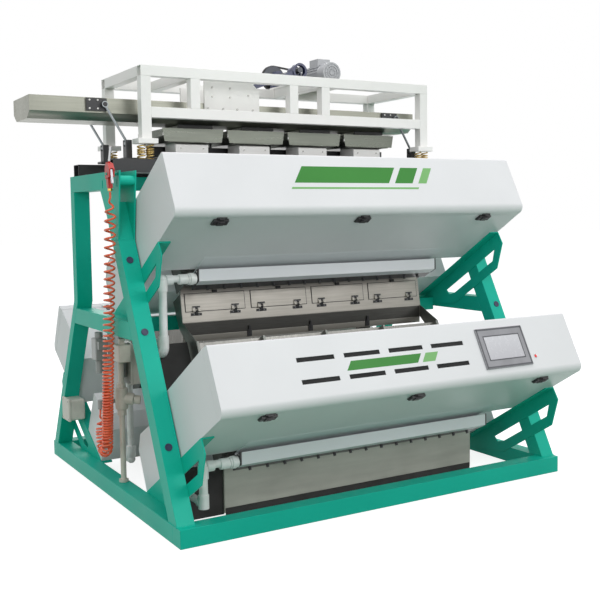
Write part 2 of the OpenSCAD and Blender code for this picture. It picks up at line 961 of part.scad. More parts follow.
// World depth and height of a point of a stage
function world_y(stage, y, z) = nose_y + cos(tilt) * y + sin(tilt) * (z - stage * stage_pitch);
function world_z(stage, y, z) = nose_z - sin(tilt) * y + cos(tilt) * (z - stage * stage_pitch);

lamp_pipe_y = (lamp_front + lamp_back) / 2 + pipe_r / 2;
lamp_pipe_z = fall(lamp_front) - lamp_rise - lamp_h / 2;

// One length of pipe from one point to another along a main axis, with a collar at its start
module pipe_leg(from, to) {
    way = to - from;
    len = norm(way);
    turn = abs(way[0]) > abs(way[1]) + abs(way[2]) ? [0, 90, way[0] > 0 ? 0 : 180]
        : abs(way[1]) > abs(way[2]) ? [-90, 0, way[1] > 0 ? 0 : 180] : [way[2] > 0 ? 0 : 180, 0, 0];
    translate(from)
        rotate(turn) {
            cylinder(r = pipe_r, h = len);
            cylinder(r = fitting_r, h = fitting_l);
        }
    translate(to)
        sphere(r = fitting_r);
}

low_run_z = tube + fitting_r + 10;
drop_y = 1015;
low_run_l = 250;

module conduit_pipes() {
    uy = world_y(0, lamp_pipe_y, lamp_pipe_z);
    uz = world_z(0, lamp_pipe_y, lamp_pipe_z);
    ly = world_y(1, lamp_pipe_y, lamp_pipe_z);
    lz = world_z(1, lamp_pipe_y, lamp_pipe_z);
    start = -lamp_half - cap_t;
    upper = [[start, uy, uz], [-pipe_x, uy, uz], [-pipe_x, uy, pipe_run_z],
        [-pipe_x, drop_y, pipe_run_z], [-pipe_x, drop_y, low_run_z]];
    lower = [[start, ly, lz], [-pipe_x, ly, lz], [-pipe_x, ly, low_run_z],
        [-pipe_x, ly + low_run_l, low_run_z]];
    color([0.82, 0.84, 0.81])
        for (route = [upper, lower])
            for (i = [1:len(route) - 1])
                pipe_leg(route[i - 1], route[i]);
}

// Feeder
trough_y = 899;
base_z = top_rail_z + beam_h;
plate_base_t = 12;
deck_z = base_z + plate_base_t;
deck_low = base_z + weld_gap;
front_beam_y = head_rear - beam_d;
rear_beam_y = (top_rear - top_tube / 2) - beam_d / 2;
deck_front = tray_y + 15;
deck_rear = rear_beam_y + beam_d / 2;
arm_x = lane_half + 8;
arm_w = 60;
outrigger_d = 60;
rod_front_y = trough_y - 22;
rod_rear_y = trough_y + trough_w + 22;
upright_w = 12;
upright_top = 38;
screen_beam_d = 15;

// Black cross beams, deck and outriggers that carry the tray drives, springs and rods
module feeder_base() {
    beam_half = half_w - tube / 2;
    screen_y = deck_front + 160;
    color(black) {
        for (y = [front_beam_y, rear_beam_y])
            tube_between([-beam_half, y, top_rail_z], [beam_half, y + beam_d, base_z], tube_wall, 0);
        difference() {
            union() {
                block([-arm_x - arm_w, deck_front, deck_low], [arm_x + arm_w, deck_rear, deck_z]);
                both_sides()
                    block([arm_x, front_beam_y + beam_d / 3, deck_low],
                        [arm_x + arm_w, deck_front - weld_gap, deck_z]);
            }
            at_springs()
                cylinder(d = spring_d + 2 * slide_gap, h = plate_base_t + cut);
        }
        for (y = [rod_front_y, rod_rear_y]) {
            block([-rod_left - outrigger_d / 2, y - outrigger_d / 2, deck_low],
                [-arm_x - arm_w - weld_gap, y + outrigger_d / 2, deck_z]);
            block([arm_x + arm_w + weld_gap, y - outrigger_d / 2, deck_low],
                [rod_right + outrigger_d / 2, y + outrigger_d / 2, deck_z]);
        }
        block([-lane_half, screen_y, deck_z + weld_gap],
            [lane_half, screen_y + screen_beam_d, deck_z + drive_h - 10]);
        for (i = [1:lanes - 1])
            translate([(i - lanes / 2) * lane_pitch - upright_w / 2, screen_y + weld_gap,
                    deck_z + drive_h - 10 + weld_gap])
                cube([upright_w, upright_w, upright_top + 10]);
    }
}

drive_d = 140;
drive_step = 20;

// Electromagnetic drive boxes under the trays, with a sloping front top edge
module tray_drives() {
    color(white)
        for (x = lane_x)
            side_plate(x - drive_w / 2, drive_w, [[deck_front, deck_z], [deck_front + drive_d, deck_z],
                [deck_front + drive_d, deck_z + drive_h], [deck_front + drive_step, deck_z + drive_h],
                [deck_front, deck_z + drive_h - drive_step / 2]]);
}

tray_t = 2;

// Tray section: flat floor, sloped lower sides and upright upper sides
function tray_section(inset) = let (
    half = tray_w / 2 - inset,
    floor_half = tray_w / 2 - tray_h / 2 - inset / 2,
    low = inset,
    knee = tray_h * 0.45)
    [[-half, tray_h + (inset > 0 ? cut : 0)], [-half, knee], [-floor_half, low], [floor_half, low],
    [half, knee], [half, tray_h + (inset > 0 ? cut : 0)]];

module feeder_tray(lane) {
    color(steel)
        translate([lane_x[lane], tray_y + tray_l, deck_z + drive_h + slide_gap])
            rotate([90, 0, 0])
                difference() {
                    linear_extrude(tray_l)
                        polygon(tray_section(0));
                    translate([0, 0, tray_t])
                        linear_extrude(tray_l)
                            polygon(tray_section(tray_t));
                }
}

module feeder_tray_1() {
    feeder_tray(0);
}
module feeder_tray_2() {
    feeder_tray(1);
}
module feeder_tray_3() {
    feeder_tray(2);
}
module feeder_tray_4() {
    feeder_tray(3);
}

trough_t = 3;
trough_wall_h = 0.68;
gate_w = 110;
outlet_w = 60;
outlet_d = 150;

// Trough section: upright walls, sloped lower sides and a flat floor
function trough_section(inset) = let (
    half = trough_w / 2 - inset,
    floor_half = trough_w / 2 - trough_h * 0.45 - inset / 2,
    top = inset > 0 ? cut : 0,
    knee = -trough_h * trough_wall_h,
    low = -trough_h + inset)
    [[-half, top], [-half, knee], [-floor_half, low], [floor_half, low], [half, knee], [half, top]];

module feed_trough() {
    length = trough_left + trough_right;
    color(steel)
        translate([-trough_left, trough_y + trough_w / 2, trough_z])
            difference() {
                rotate([90, 0, 90])
                    linear_extrude(length)
                        polygon(trough_section(0));
                translate([trough_t, 0, 0])
                    rotate([90, 0, 90])
                        linear_extrude(length - 2 * trough_t)
                            polygon(trough_section(trough_t));
                for (x = lane_x)
                    translate([trough_left + x - outlet_w / 2, -outlet_d / 2, -trough_h - cut])
                        cube([outlet_w, outlet_d, trough_t + 2 * cut]);
            }
}

plates_left = 473;
plates_right = 160;
plates_h = 157;
plates_t = 10;
plates_low = trough_z - 44;
link_x = -215;
link_z = plates_low + plates_h - 33;
link_r = 12;

// Drive plates on both walls of the trough with the crank link's cross pin between them
module trough_plates() {
    step = 40;
    outline = [[-plates_left, plates_low], [-plates_right, plates_low],
        [-plates_right, plates_low + plates_h - step], [-plates_right - step, plates_low + plates_h],
        [-plates_left, plates_low + plates_h]];
    color(white) {
        for (y = [trough_y, trough_y + trough_w + plates_t])
            translate([0, y, 0])
                rotate([90, 0, 0])
                    linear_extrude(plates_t)
                        polygon(outline);
        translate([link_x, 0, link_z])
            bar_y(trough_y + weld_gap, trough_y + trough_w - weld_gap, link_r);
    }
}

rod_r = 6;
eye_r = 15;
eye_w = 20;
rod_pin_r = 7;
cheek_t = 12;
open_gap = 0.5;
rod_top_dx = -rod_l * sin(rod_lean);
rod_top_dz = rod_l * cos(rod_lean);

// Side position of the trough's rod pins
function rod_foot(side) = side < 0 ? -rod_left : rod_right;

guide_t = 8;
gate_t = 5;
gate_gap = 4;
guide_l = 190;

// Rubber clamp blocks with the upper rod pins, and the guides of the outlet gates
module trough_blocks() {
    block_w = 100;
    block_low = 30;
    color(black) {
        for (side = [-1, 1])
            for (front = [0, 1]) {
                wall = front == 1 ? trough_y : trough_y + trough_w;
                out = front == 1 ? -1 : 1;
                x = rod_foot(side) + rod_top_dx;
                z = rod_z + rod_top_dz;
                inner = front == 1 ? wall - cheek_t + weld_gap : wall + weld_gap;
                translate([x - block_w + eye_r, inner, z - block_low])
                    cube([block_w, cheek_t - 2 * weld_gap, 2 * block_low]);
                translate([x, 0, z])
                    bar_y(wall + (out < 0 ? -22 - eye_w / 2 - slide_gap : weld_gap),
                        wall + (out < 0 ? -weld_gap : 22 + eye_w / 2 + slide_gap), rod_pin_r);
            }
        for (x = lane_x)
            for (side = [-1, 1])
                gate_guide(x, side);
    }
}

// L-shaped guide under the trough floor that holds one edge of a gate plate
module gate_guide(x, side) {
    mid = trough_y + trough_w / 2;
    top = trough_z - trough_h;
    edge = outlet_d / 2 + guide_t;
    z1 = top - gate_gap - gate_t;
    translate([0, mid, 0])
        mirror([0, side < 0 ? 1 : 0, 0])
            side_plate(x - gate_w / 2, guide_l, [[edge + slide_gap, top], [edge + guide_t, top],
                [edge + guide_t, z1 - guide_t], [edge - guide_t, z1 - guide_t],
                [edge - guide_t, z1 - slide_gap], [edge + slide_gap, z1 - slide_gap]]);
}

// Four slide gates under the trough, moved together by air
module outlet_gates() {
    mid = trough_y + trough_w / 2;
    top = trough_z - trough_h - gate_gap;
    edge = outlet_d / 2 + guide_t;
    grip = 14;
    color(steel)
        for (x = lane_x) {
            block([x - gate_w / 2, mid - edge, top - gate_t], [x + gate_w / 2, mid + edge, top]);
            translate([x - gate_w / 2 + grip, mid, top - gate_t - grip])
                bar_y(-edge + 2 * guide_t, edge - 2 * guide_t, grip / 2);
            block([x - gate_w / 2 + grip / 2, mid - edge + 2 * guide_t, top - gate_t - grip],
                [x - gate_w / 2 + 1.5 * grip, mid + edge - 2 * guide_t, top - gate_t]);
        }
}

// A front and a rear rod on one pivot line: pinned eye below, loose eye above
module swing_rods(side) {
    color(silver)
        for (y = [rod_front_y, rod_rear_y])
            translate([rod_foot(side), y, rod_z])
                rotate([0, -rod_lean, 0])
                    difference() {
                        union() {
                            cylinder(r = rod_r, h = rod_l);
                            for (z = [0, rod_l])
                                translate([0, 0, z])
                                    bar_y(-eye_w / 2, eye_w / 2, eye_r);
                        }
                        bar_y(-eye_w, eye_w, rod_pin_r + pin_gap);
                        translate([0, 0, rod_l])
                            bar_y(-eye_w, eye_w, rod_pin_r + open_gap);
                    }
}

module swing_rods_left() {
    swing_rods(-1);
}

module swing_rods_right() {
    swing_rods(1);
}

// Forked clamps on the outriggers with the lower rod pins
module rod_clamps() {
    half = eye_w / 2 + slide_gap;
    top = rod_z + eye_r;
    saddle = rod_z - eye_r - 2 * slide_gap - deck_z;
    color(black)
        for (side = [-1, 1])
            for (y = [rod_front_y, rod_rear_y])
                translate([rod_foot(side), y, 0]) {
                    for (end = [-1, 1])
                        translate([-eye_r, end * (half + cheek_t / 2) - cheek_t / 2, deck_z])
                            cube([2 * eye_r, cheek_t, top - deck_z]);
                    translate([-eye_r, -half, deck_z])
                        cube([2 * eye_r, 2 * half, saddle]);
                    translate([0, 0, rod_z])
                        bar_y(-half - cheek_t, half + cheek_t, rod_pin_r);
                }
}

// Drive frame
top_wall = 3;
foot_w = 100;
foot_d = 84;
foot_t = 25;
post_xs = [-572, -15, 178];
rail_xs = [-572, 178];
drive_plate_t = 12;
drive_plate_y = 1100;
drive_plate_x = [150, 480];
drive_z = top_z + drive_plate_t;

// Welded frame of square tube on four feet, with the motor plate on top
module top_frame() {
    half = top_w / 2;
    low = top_z - top_tube;
    legs_y = [top_front, top_rear - top_tube];
    low_rail = low_rail_z - top_tube;
    color(white) {
        for (y = legs_y) {
            tube_between([-half, y, low], [half, y + top_tube, top_z], top_wall, 0);
            both_sides() {
                tube_between([half - top_tube, y, foot_z + foot_t], [half, y + top_tube, low - weld_gap],
                    top_wall, 2);
                block([half - top_tube / 2 - foot_w / 2, y + top_tube / 2 - foot_d / 2, foot_z],
                    [half - top_tube / 2 + foot_w / 2, y + top_tube / 2 + foot_d / 2,
                    foot_z + foot_t - weld_gap]);
            }
        }
        both_sides()
            tube_between([half - top_tube, top_front + top_tube + weld_gap, low],
                [half, top_rear - top_tube - weld_gap, top_z], top_wall, 1);
        for (x = rail_xs)
            tube_between([x - top_tube / 2, top_front + top_tube + weld_gap, low],
                [x + top_tube / 2, top_rear - top_tube - weld_gap, top_z], top_wall, 1);
        tube_between([-half + top_tube + weld_gap, top_front, low_rail],
            [half - top_tube - weld_gap, top_front + top_tube, low_rail_z], top_wall, 0);
        for (x = post_xs)
            tube_between([x - top_tube / 2, top_front, low_rail_z + weld_gap],
                [x + top_tube / 2, top_front + top_tube, low - weld_gap], top_wall, 2);
        block([drive_plate_x[0], drive_plate_y, top_z + weld_gap], [drive_plate_x[1], top_rear, drive_z]);
    }
}

spring_turns = 5;
spring_sides = 6;
spring_steps = 12;
spring_pair = 22;

// Places of the spring pairs under the four legs
module at_springs() {
    for (y = [top_front + top_tube / 2, top_rear - top_tube / 2])
        for (side = [-1, 1])
            for (end = [-1, 1])
                translate([side * (top_w - top_tube) / 2 + end * spring_pair, y, base_z])
                    children();
}

// Helical spring of round wire standing on the origin
module coil_spring(height, mean_r, wire_r) {
    rings = spring_turns * spring_steps;
    rise = height - 2 * wire_r;
    points = [for (i = [0:rings]) for (j = [0:spring_sides - 1])
        let (a = 360 * i / spring_steps, b = 360 * j / spring_sides,
            r = mean_r + wire_r * cos(b))
        [r * cos(a), r * sin(a), wire_r + rise * i / rings + wire_r * sin(b)]];
    start = [for (j = [0:spring_sides - 1]) j];
    end = [for (j = [spring_sides - 1:-1:0]) rings * spring_sides + j];
    skin = [for (i = [0:rings - 1]) for (j = [0:spring_sides - 1])
        let (k = (j + 1) % spring_sides)
        [i * spring_sides + j, (i + 1) * spring_sides + j, (i + 1) * spring_sides + k, i * spring_sides + k]];
    polyhedron(points, concat([start, end], skin));
}

module isolation_springs() {
    wire_r = spring_wire / 2;
    mean_r = spring_d / 2 - wire_r;
    color([0.75, 0.66, 0.42])
        at_springs()
            coil_spring(foot_z - base_z - slide_gap, mean_r, wire_r);
}

axis_z = drive_z + 63;
motor_rear = top_rear - 30;
shaft_r = 14;
fin_count = 20;
fin_t = 3;
fin_h = 6;
pulley_y = top_rear + 18;
belt_w = 22;
belt_t = 7;
rim_t = 4;

// Finned motor with fan cover, feet and terminal box; fan end to the front
module motor() {
    front = motor_rear - motor_l;
    cover_l = motor_l * 0.25;
    foot_h = axis_z - drive_z;
    box_w = 82;
    box_l = 90;
    box_top = 28;
    color(silver)
        difference() {
            union() {
                translate([motor_x, 0, axis_z]) {
                    bar_y(front + cover_l, motor_rear, motor_r - fin_h);
                    bar_y(front, front + cover_l, motor_r);
                    for (i = [0:fin_count - 1])
                        rotate([0, 360 * (i + 0.5) / fin_count, 0])
                            block([motor_r - 2 * fin_h, front + cover_l, -fin_t / 2],
                                [motor_r, motor_rear - 20, fin_t / 2]);
                }
                for (side = [-1, 1])
                    block([motor_x + side * motor_r * 0.75 - 14, front + 1.3 * cover_l, drive_z],
                        [motor_x + side * motor_r * 0.75 + 14, motor_rear - 30, drive_z + foot_h * 0.6]);
                block([motor_x - box_w / 2, front + 1.2 * cover_l, axis_z + motor_r * 0.7],
                    [motor_x + box_w / 2, front + 1.2 * cover_l + box_l, axis_z + motor_r + box_top]);
            }
            translate([motor_x, 0, axis_z])
                bar_y(motor_rear - 60, motor_rear + cut, shaft_r + pin_gap);
            for (ring = [0.35, 0.6, 0.85])
                translate([motor_x, front - cut, axis_z])
                    rotate([-90, 0, 0])
                        difference() {
                            cylinder(r = ring * motor_r, h = 4 * cut);
                            translate([0, 0, -cut])
                                cylinder(r = ring * motor_r - 6, h = 6 * cut);
                        }
        }
}

// Flanged pulley about the Y axis
module pulley(r) {
    bar_y(pulley_y, pulley_y + belt_w, r);
    bar_y(pulley_y - rim_t, pulley_y - slide_gap, r + belt_t / 2);
    bar_y(pulley_y - slide_gap - cut, pulley_y + cut, r);
    bar_y(pulley_y + belt_w + slide_gap, pulley_y + belt_w + rim_t, r + belt_t / 2);
    bar_y(pulley_y + belt_w - cut, pulley_y + belt_w + slide_gap + cut, r);
}

module motor_pulley() {
    color([0.35, 0.36, 0.38])
        translate([motor_x, 0, axis_z]) {
            pulley(motor_pulley_r);
            bar_y(motor_rear - 50, pulley_y, shaft_r);
        }
}

crank_front = 1058;
crank_w = 30;
throw_r = 16;
crank_shaft_r = 15;

// Crank pulley with its shaft and the eccentric at the front end
module crank_pulley() {
    color([0.35, 0.36, 0.38])
        translate([crank_x, 0, axis_z]) {
            pulley(crank_pulley_r);
            bar_y(crank_front + crank_w, pulley_y, crank_shaft_r);
            translate([0, 0, crank_throw])
                bar_y(crank_front, crank_front + crank_w + cut, throw_r);
        }
}

pillow_w = 40;
pillow_r = 34;
pillow_foot = 110;

// Two bearing blocks that carry the crank shaft
module pillow_blocks() {
    color([0.2, 0.22, 0.32])
        for (y = [drive_plate_y + 8, top_rear - pillow_w - 8])
            difference() {
                union() {
                    translate([crank_x, 0, axis_z])
                        bar_y(y, y + pillow_w, pillow_r);
                    block([crank_x - pillow_r, y, drive_z], [crank_x + pillow_r, y + pillow_w, axis_z]);
                    block([max(crank_x - pillow_foot / 2, drive_plate_x[0]), y, drive_z],
                        [crank_x + pillow_foot / 2, y + pillow_w, drive_z + 16]);
                }
                translate([crank_x, 0, axis_z])
                    bar_y(y - cut, y + pillow_w + cut, crank_shaft_r + pin_gap);
            }
}

belt_steps = 32;

// Line round two pulleys of different radius, at a distance from their rims
function belt_line(grow) = let (
    r1 = motor_pulley_r + grow,
    r2 = crank_pulley_r + grow,
    lean = acos((r2 - r1) / (motor_x - crank_x)))
    concat([for (i = [0:belt_steps])
        let (a = lean + (360 - 2 * lean) * i / belt_steps)
        [crank_x + r2 * cos(a), r2 * sin(a)]],
    [for (i = [0:belt_steps])
        let (a = lean * (2 * i / belt_steps - 1))
        [motor_x + r1 * cos(a), r1 * sin(a)]]);

module drive_belt() {
    color(black)
        translate([0, pulley_y + belt_w, axis_z])
            rotate([90, 0, 0])
                difference() {
                    linear_extrude(belt_w)
                        polygon(belt_line(belt_t));
                    translate([0, 0, -cut])
                        linear_extrude(belt_w + 2 * cut)
                            polygon(belt_line(slide_gap));
                }
}

big_gap = 10;
big_wall = 12;
rod_h = 26;

// Crank link: wide loose eye at the crank, fixed eye on the trough's cross pin
module connecting_rod() {
    big_r = throw_r + crank_throw + big_gap;
    run = crank_x - link_x;
    rise = axis_z - link_z;
    color(silver)
        difference() {
            union() {
                translate([crank_x, 0, axis_z])
                    bar_y(crank_front, crank_front + crank_w - 2 * slide_gap, big_r + big_wall);
                translate([link_x, 0, link_z])
                    bar_y(crank_front, crank_front + crank_w - 2 * slide_gap, link_r + big_wall);
                translate([link_x, crank_front + crank_w * 0.2, link_z])
                    rotate([0, -atan2(rise, run), 0])
                        translate([0, 0, -rod_h / 2])
                            cube([sqrt(run * run + rise * rise), crank_w * 0.6, rod_h]);
            }
            translate([crank_x, 0, axis_z])
                bar_y(crank_front - cut, crank_front + crank_w + cut, big_r);
            translate([link_x, 0, link_z])
                bar_y(crank_front - cut, crank_front + crank_w + cut, link_r + pin_gap);
        }
}

// Air gun on its peg, hose and filter set
gun_x = -half_w - peg_l + 17;
gun_t = 26;
gun_pivot = [peg_y - 22, peg_z + 14];
grip_l = 62;
trigger_pin_r = 2;

// Blow gun: body with hanging eye, grip and a slim nozzle that points up
module air_gun() {
    body = [[peg_y - 30, peg_z - 14], [peg_y + 22, peg_z - 22], [peg_y + 26, peg_z + 24],
        [peg_y + 8, peg_z + 52], [peg_y - 16, peg_z + 46], [peg_y - 34, peg_z + 20]];
    grip = [[peg_y - 8, peg_z - 14], [peg_y + 20, peg_z - 16], [peg_y + 10, peg_z - grip_l],
        [peg_y - 12, peg_z - grip_l]];
    color("firebrick")
        difference() {
            union() {
                side_plate(gun_x - gun_t / 2, gun_t, body);
                side_plate(gun_x - gun_t / 2 + 3, gun_t - 6, grip);
                translate([gun_x, peg_y + 2, peg_z + 44])
                    rotate([20, 0, 0])
                        cylinder(r = 5, h = 80);
                translate([gun_x, peg_y - 1, peg_z - grip_l - 14])
                    cylinder(r = 9, h = 16);
            }
            translate([0, peg_y, peg_z])
                bar_x(-half_w - 2 * peg_l, -half_w, peg_r + slide_gap);
            side_plate(gun_x - 6, 12, [[gun_pivot[0] - 30, gun_pivot[1] + 10],
                [gun_pivot[0] + 8, gun_pivot[1] + 10], [gun_pivot[0] + 8, gun_pivot[1] - 60],
                [gun_pivot[0] - 30, gun_pivot[1] - 60]]);
        }
    color("firebrick")
        translate([0, gun_pivot[0], gun_pivot[1]])
            bar_x(gun_x - gun_t / 4, gun_x + gun_t / 4, trigger_pin_r);
}

// Lever in the gun's front slot
module gun_trigger() {
    color([0.6, 0.6, 0.6])
        difference() {
            side_plate(gun_x - 5, 10, [[gun_pivot[0] - 6, gun_pivot[1] + 5],
                [gun_pivot[0] + 5, gun_pivot[1] + 5], [gun_pivot[0] - 1, gun_pivot[1] - 30],
                [gun_pivot[0] - 10, gun_pivot[1] - 58], [gun_pivot[0] - 18, gun_pivot[1] - 56],
                [gun_pivot[0] - 12, gun_pivot[1] - 30]]);
            translate([0, gun_pivot[0], gun_pivot[1]])
                bar_x(gun_x - gun_t, gun_x + gun_t, trigger_pin_r + pin_gap);
        }
}

// Route of the curly hose from the gun down to its bend and up to the filter's outlet
hose_route = [[-1085, 584, 1450], [-1085, 586, 1400], [-1085, 600, 1280], [-1085, 620, 1120],
    [-1085, 640, 960], [-1085, 660, 800], [-1085, 680, 640], [-1085, 700, 480], [-1085, 716, 350],
    [-1085, 722, 290], [-1085, 728, 262], [-1085, 744, 242], [-1085, 764, 236], [-1085, 784, 242],
    [-1085, 800, 262], [-1085, 806, 290], [-1085, 810, 340], [-1085, 812, 400], [-1085, 812, 430]];
hose_sides = 10;

function unit(v) = v / norm(v);
// Direction of the route at a point
function heading(i) = let (last = len(hose_route) - 1)
    unit(hose_route[min(i + 1, last)] - hose_route[max(i - 1, 0)]);

// The coils as one fat tube swept along the route
module air_hose() {
    last = len(hose_route) - 1;
    r = hose_d / 2;
    points = [for (i = [0:last]) for (j = [0:hose_sides - 1])
        let (out = cross([1, 0, 0], heading(i)), a = 360 * j / hose_sides)
        hose_route[i] + r * (cos(a) * [1, 0, 0] + sin(a) * out)];
    start = [for (j = [hose_sides - 1:-1:0]) j];
    end = [for (j = [0:hose_sides - 1]) last * hose_sides + j];
    skin = [for (i = [0:last - 1]) for (j = [0:hose_sides - 1])
        let (k = (j + 1) % hose_sides)
        [i * hose_sides + j, i * hose_sides + k, (i + 1) * hose_sides + k, (i + 1) * hose_sides + j]];
    color([0.94, 0.37, 0.25])
        polyhedron(points, concat([start, end], skin));
}

outlet_y = 812;
outlet_z = 430;
filter_y = 900;
filter_w = 56;
filter_gap = 66;
bowl_r = 26;
bowl_h = 80;
filter_x = -post_in - 14;

// Regulator, filter bowl and outlet elbow on a bracket under the left middle rail
module air_filter() {
    bracket_w = 130;
    body_top = mid_z0 - 60;
    body_h = 90;
    color([0.62, 0.63, 0.62]) {
        block([filter_x - plate_t, filter_y - bracket_w / 2 - 35, outlet_z + 10],
            [filter_x, filter_y + bracket_w / 2, mid_z0]);
        for (i = [0, 1])
            translate([filter_x + weld_gap, filter_y + (i - 0.5) * filter_gap, body_top - body_h]) {
                translate([0, -filter_w / 2, 0])
                    cube([filter_w, filter_w, body_h]);
                translate([filter_w / 2, 0, -bowl_h])
                    cylinder(r = bowl_r, h = bowl_h);
                translate([filter_w / 2, 0, body_h])
                    cylinder(r = bowl_r * 0.7, h = bowl_h / 3);
            }
        translate([0, outlet_y, outlet_z + 32]) {
            bar_x(hose_route[0][0] + 12 + weld_gap, filter_x - plate_t - weld_gap, 10);
            translate([hose_route[0][0], 0, -32])
                cylinder(r = 12, h = 44);
        }
    }
}

front_sill();
base_sills();
front_posts();
post_heads();
rear_posts();
side_rails();
cross_tubes();
ear_brackets();
upper_hood_shell();
lower_hood_shell();
rear_hood_shell();
upper_hood_door();
lower_hood_door();
rear_hood_door();
hood_hinges();
latches();
touch_screen();
screen_glass();
indicator_lamp();
lamp_housings();
lamp_end_caps();
camera_units();
camera_boxes();
chutes();
chute_dividers();
chute_side_plates();
ejector_bars();
collector_band();
band_hinges();
band_door_1();
band_door_2();
band_door_3();
band_door_4();
outlet_hoppers();
conduit_pipes();
feeder_base();
tray_drives();
feeder_tray_1();
feeder_tray_2();
feeder_tray_3();
feeder_tray_4();
feed_trough();
trough_plates();
trough_blocks();
outlet_gates();
swing_rods_left();
swing_rods_right();
rod_clamps();
top_frame();
isolation_springs();
motor();
motor_pulley();
crank_pulley();
pillow_blocks();
drive_belt();
connecting_rod();
air_gun();
gun_trigger();
air_hose();
air_filter();
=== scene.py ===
import math

import bpy
from mathutils import Matrix, Vector


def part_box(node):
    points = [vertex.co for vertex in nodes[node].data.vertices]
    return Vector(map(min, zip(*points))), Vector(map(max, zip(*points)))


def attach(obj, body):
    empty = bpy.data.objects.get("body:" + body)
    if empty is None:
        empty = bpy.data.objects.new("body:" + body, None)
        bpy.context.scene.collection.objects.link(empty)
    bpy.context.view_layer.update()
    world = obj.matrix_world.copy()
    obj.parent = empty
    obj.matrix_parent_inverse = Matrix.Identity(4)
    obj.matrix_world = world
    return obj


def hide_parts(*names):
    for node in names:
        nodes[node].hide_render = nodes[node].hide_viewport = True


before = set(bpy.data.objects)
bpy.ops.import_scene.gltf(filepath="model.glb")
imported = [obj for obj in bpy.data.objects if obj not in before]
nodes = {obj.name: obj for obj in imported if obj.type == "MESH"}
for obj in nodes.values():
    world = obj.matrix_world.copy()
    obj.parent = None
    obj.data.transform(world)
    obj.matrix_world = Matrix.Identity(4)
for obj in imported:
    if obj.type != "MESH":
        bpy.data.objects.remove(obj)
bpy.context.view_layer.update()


# Studio
# A wide pale floor and large soft boxes round the machine, with a white surround
# that the camera, polished metal and glass see at its plain strength.
surround_light = 0.58
surround_tint = (0.98, 0.98, 1.0, 1)
white = (1, 1, 1, 1)
floor_size = 90
floor_drop = 0.001
floor_bounce = (0.17, 0.30, 0.23, 1)
floor_grey = (0.45, 0.45, 0.45, 1)
floor_glow = 0.84


def light_shader(tree, kind, colour, strength=None):
    node = tree.nodes.new(kind)
    node.inputs["Color"].default_value = colour
    if strength is not None:
        node.inputs["Strength"].default_value = strength
    return node.outputs[0]


def white_where_seen(tree, lit, seen):
    path = tree.nodes.new("ShaderNodeLightPath")
    share = path.outputs["Is Camera Ray"]
    for ray in ("Is Glossy Ray", "Is Transmission Ray"):
        either = tree.nodes.new("ShaderNodeMath")
        either.operation = "MAXIMUM"
        tree.links.new(share, either.inputs[0])
        tree.links.new(path.outputs[ray], either.inputs[1])
        share = either.outputs[0]
    mix = tree.nodes.new("ShaderNodeMixShader")
    tree.links.new(share, mix.inputs[0])
    tree.links.new(lit, mix.inputs[1])
    tree.links.new(seen, mix.inputs[2])
    return mix.outputs[0]


world = bpy.data.worlds.new("studio_surround")
world.use_nodes = True
bpy.context.scene.world = world
tree = world.node_tree
tree.nodes.clear()
lit = light_shader(tree, "ShaderNodeBackground", surround_tint, surround_light)
seen = light_shader(tree, "ShaderNodeBackground", white, 1)
out = tree.nodes.new("ShaderNodeOutputWorld")
tree.links.new(white_where_seen(tree, lit, seen), out.inputs["Surface"])

bpy.ops.object.select_all(action="DESELECT")
bpy.ops.mesh.primitive_plane_add(size=floor_size, location=(0, 0, -floor_drop))
floor = bpy.context.object
floor.name = "studio_floor"
floor_paint = bpy.data.materials.new("studio_floor")
floor_paint.use_nodes = True
tree = floor_paint.node_tree
tree.nodes.clear()
bounce = light_shader(tree, "ShaderNodeBsdfDiffuse", floor_bounce)
shade = light_shader(tree, "ShaderNodeBsdfDiffuse", floor_grey)
glow = light_shader(tree, "ShaderNodeEmission", white, floor_glow)
both = tree.nodes.new("ShaderNodeAddShader")
tree.links.new(shade, both.inputs[0])
tree.links.new(glow, both.inputs[1])
out = tree.nodes.new("ShaderNodeOutputMaterial")
tree.links.new(white_where_seen(tree, bounce, both.outputs[0]), out.inputs["Surface"])
floor.data.materials.append(floor_paint)


def soft_box(name, place, aim, size, power):
    light = bpy.data.lights.new(name, "AREA")
    light.shape = "RECTANGLE"
    light.size, light.size_y = size
    light.energy = power
    holder = bpy.data.objects.new(name, light)
    bpy.context.scene.collection.objects.link(holder)
    holder.location = place
    holder.rotation_euler = (Vector(aim) - Vector(place)).to_track_quat("-Z", "Y").to_euler()


soft_box("key_box", (2.5, -5.2, 4.3), (0.2, 0.4, 1.0), (3.8, 3.0), 124)
soft_box("top_box", (0.2, 0.6, 5.6), (0, 0.8, 0.0), (5.0, 4.0), 105)
soft_box("left_box", (-4.4, -3.6, 3.0), (0, 0.6, 1.0), (2.6, 2.6), 58)
soft_box("rear_box", (1.9, 6.4, 3.8), (0, 1.0, 1.0), (3.4, 2.6), 105)


# Camera
# A still camera at chest height off the front left corner, where the photograph was taken.
# It looks almost level, and its lens is shifted a little to place the machine in the picture.
camera_place = (-2.468, -3.424, 1.3365)
camera_turn = (85.6178, 0.8055, -30.3473)
camera_lens = 55.70
camera_sensor = 36
camera_shift = (0.0051, -0.0232)

camera_data = bpy.data.cameras.new("photo_camera")
camera_data.lens = camera_lens
camera_data.sensor_width = camera_sensor
camera_data.shift_x, camera_data.shift_y = camera_shift
camera = bpy.data.objects.new("photo_camera", camera_data)
bpy.context.scene.collection.objects.link(camera)
camera.location = camera_place
camera.rotation_euler = [math.radians(turn) for turn in camera_turn]
bpy.context.scene.camera = camera
bpy.context.scene.view_settings.view_transform = "Standard"


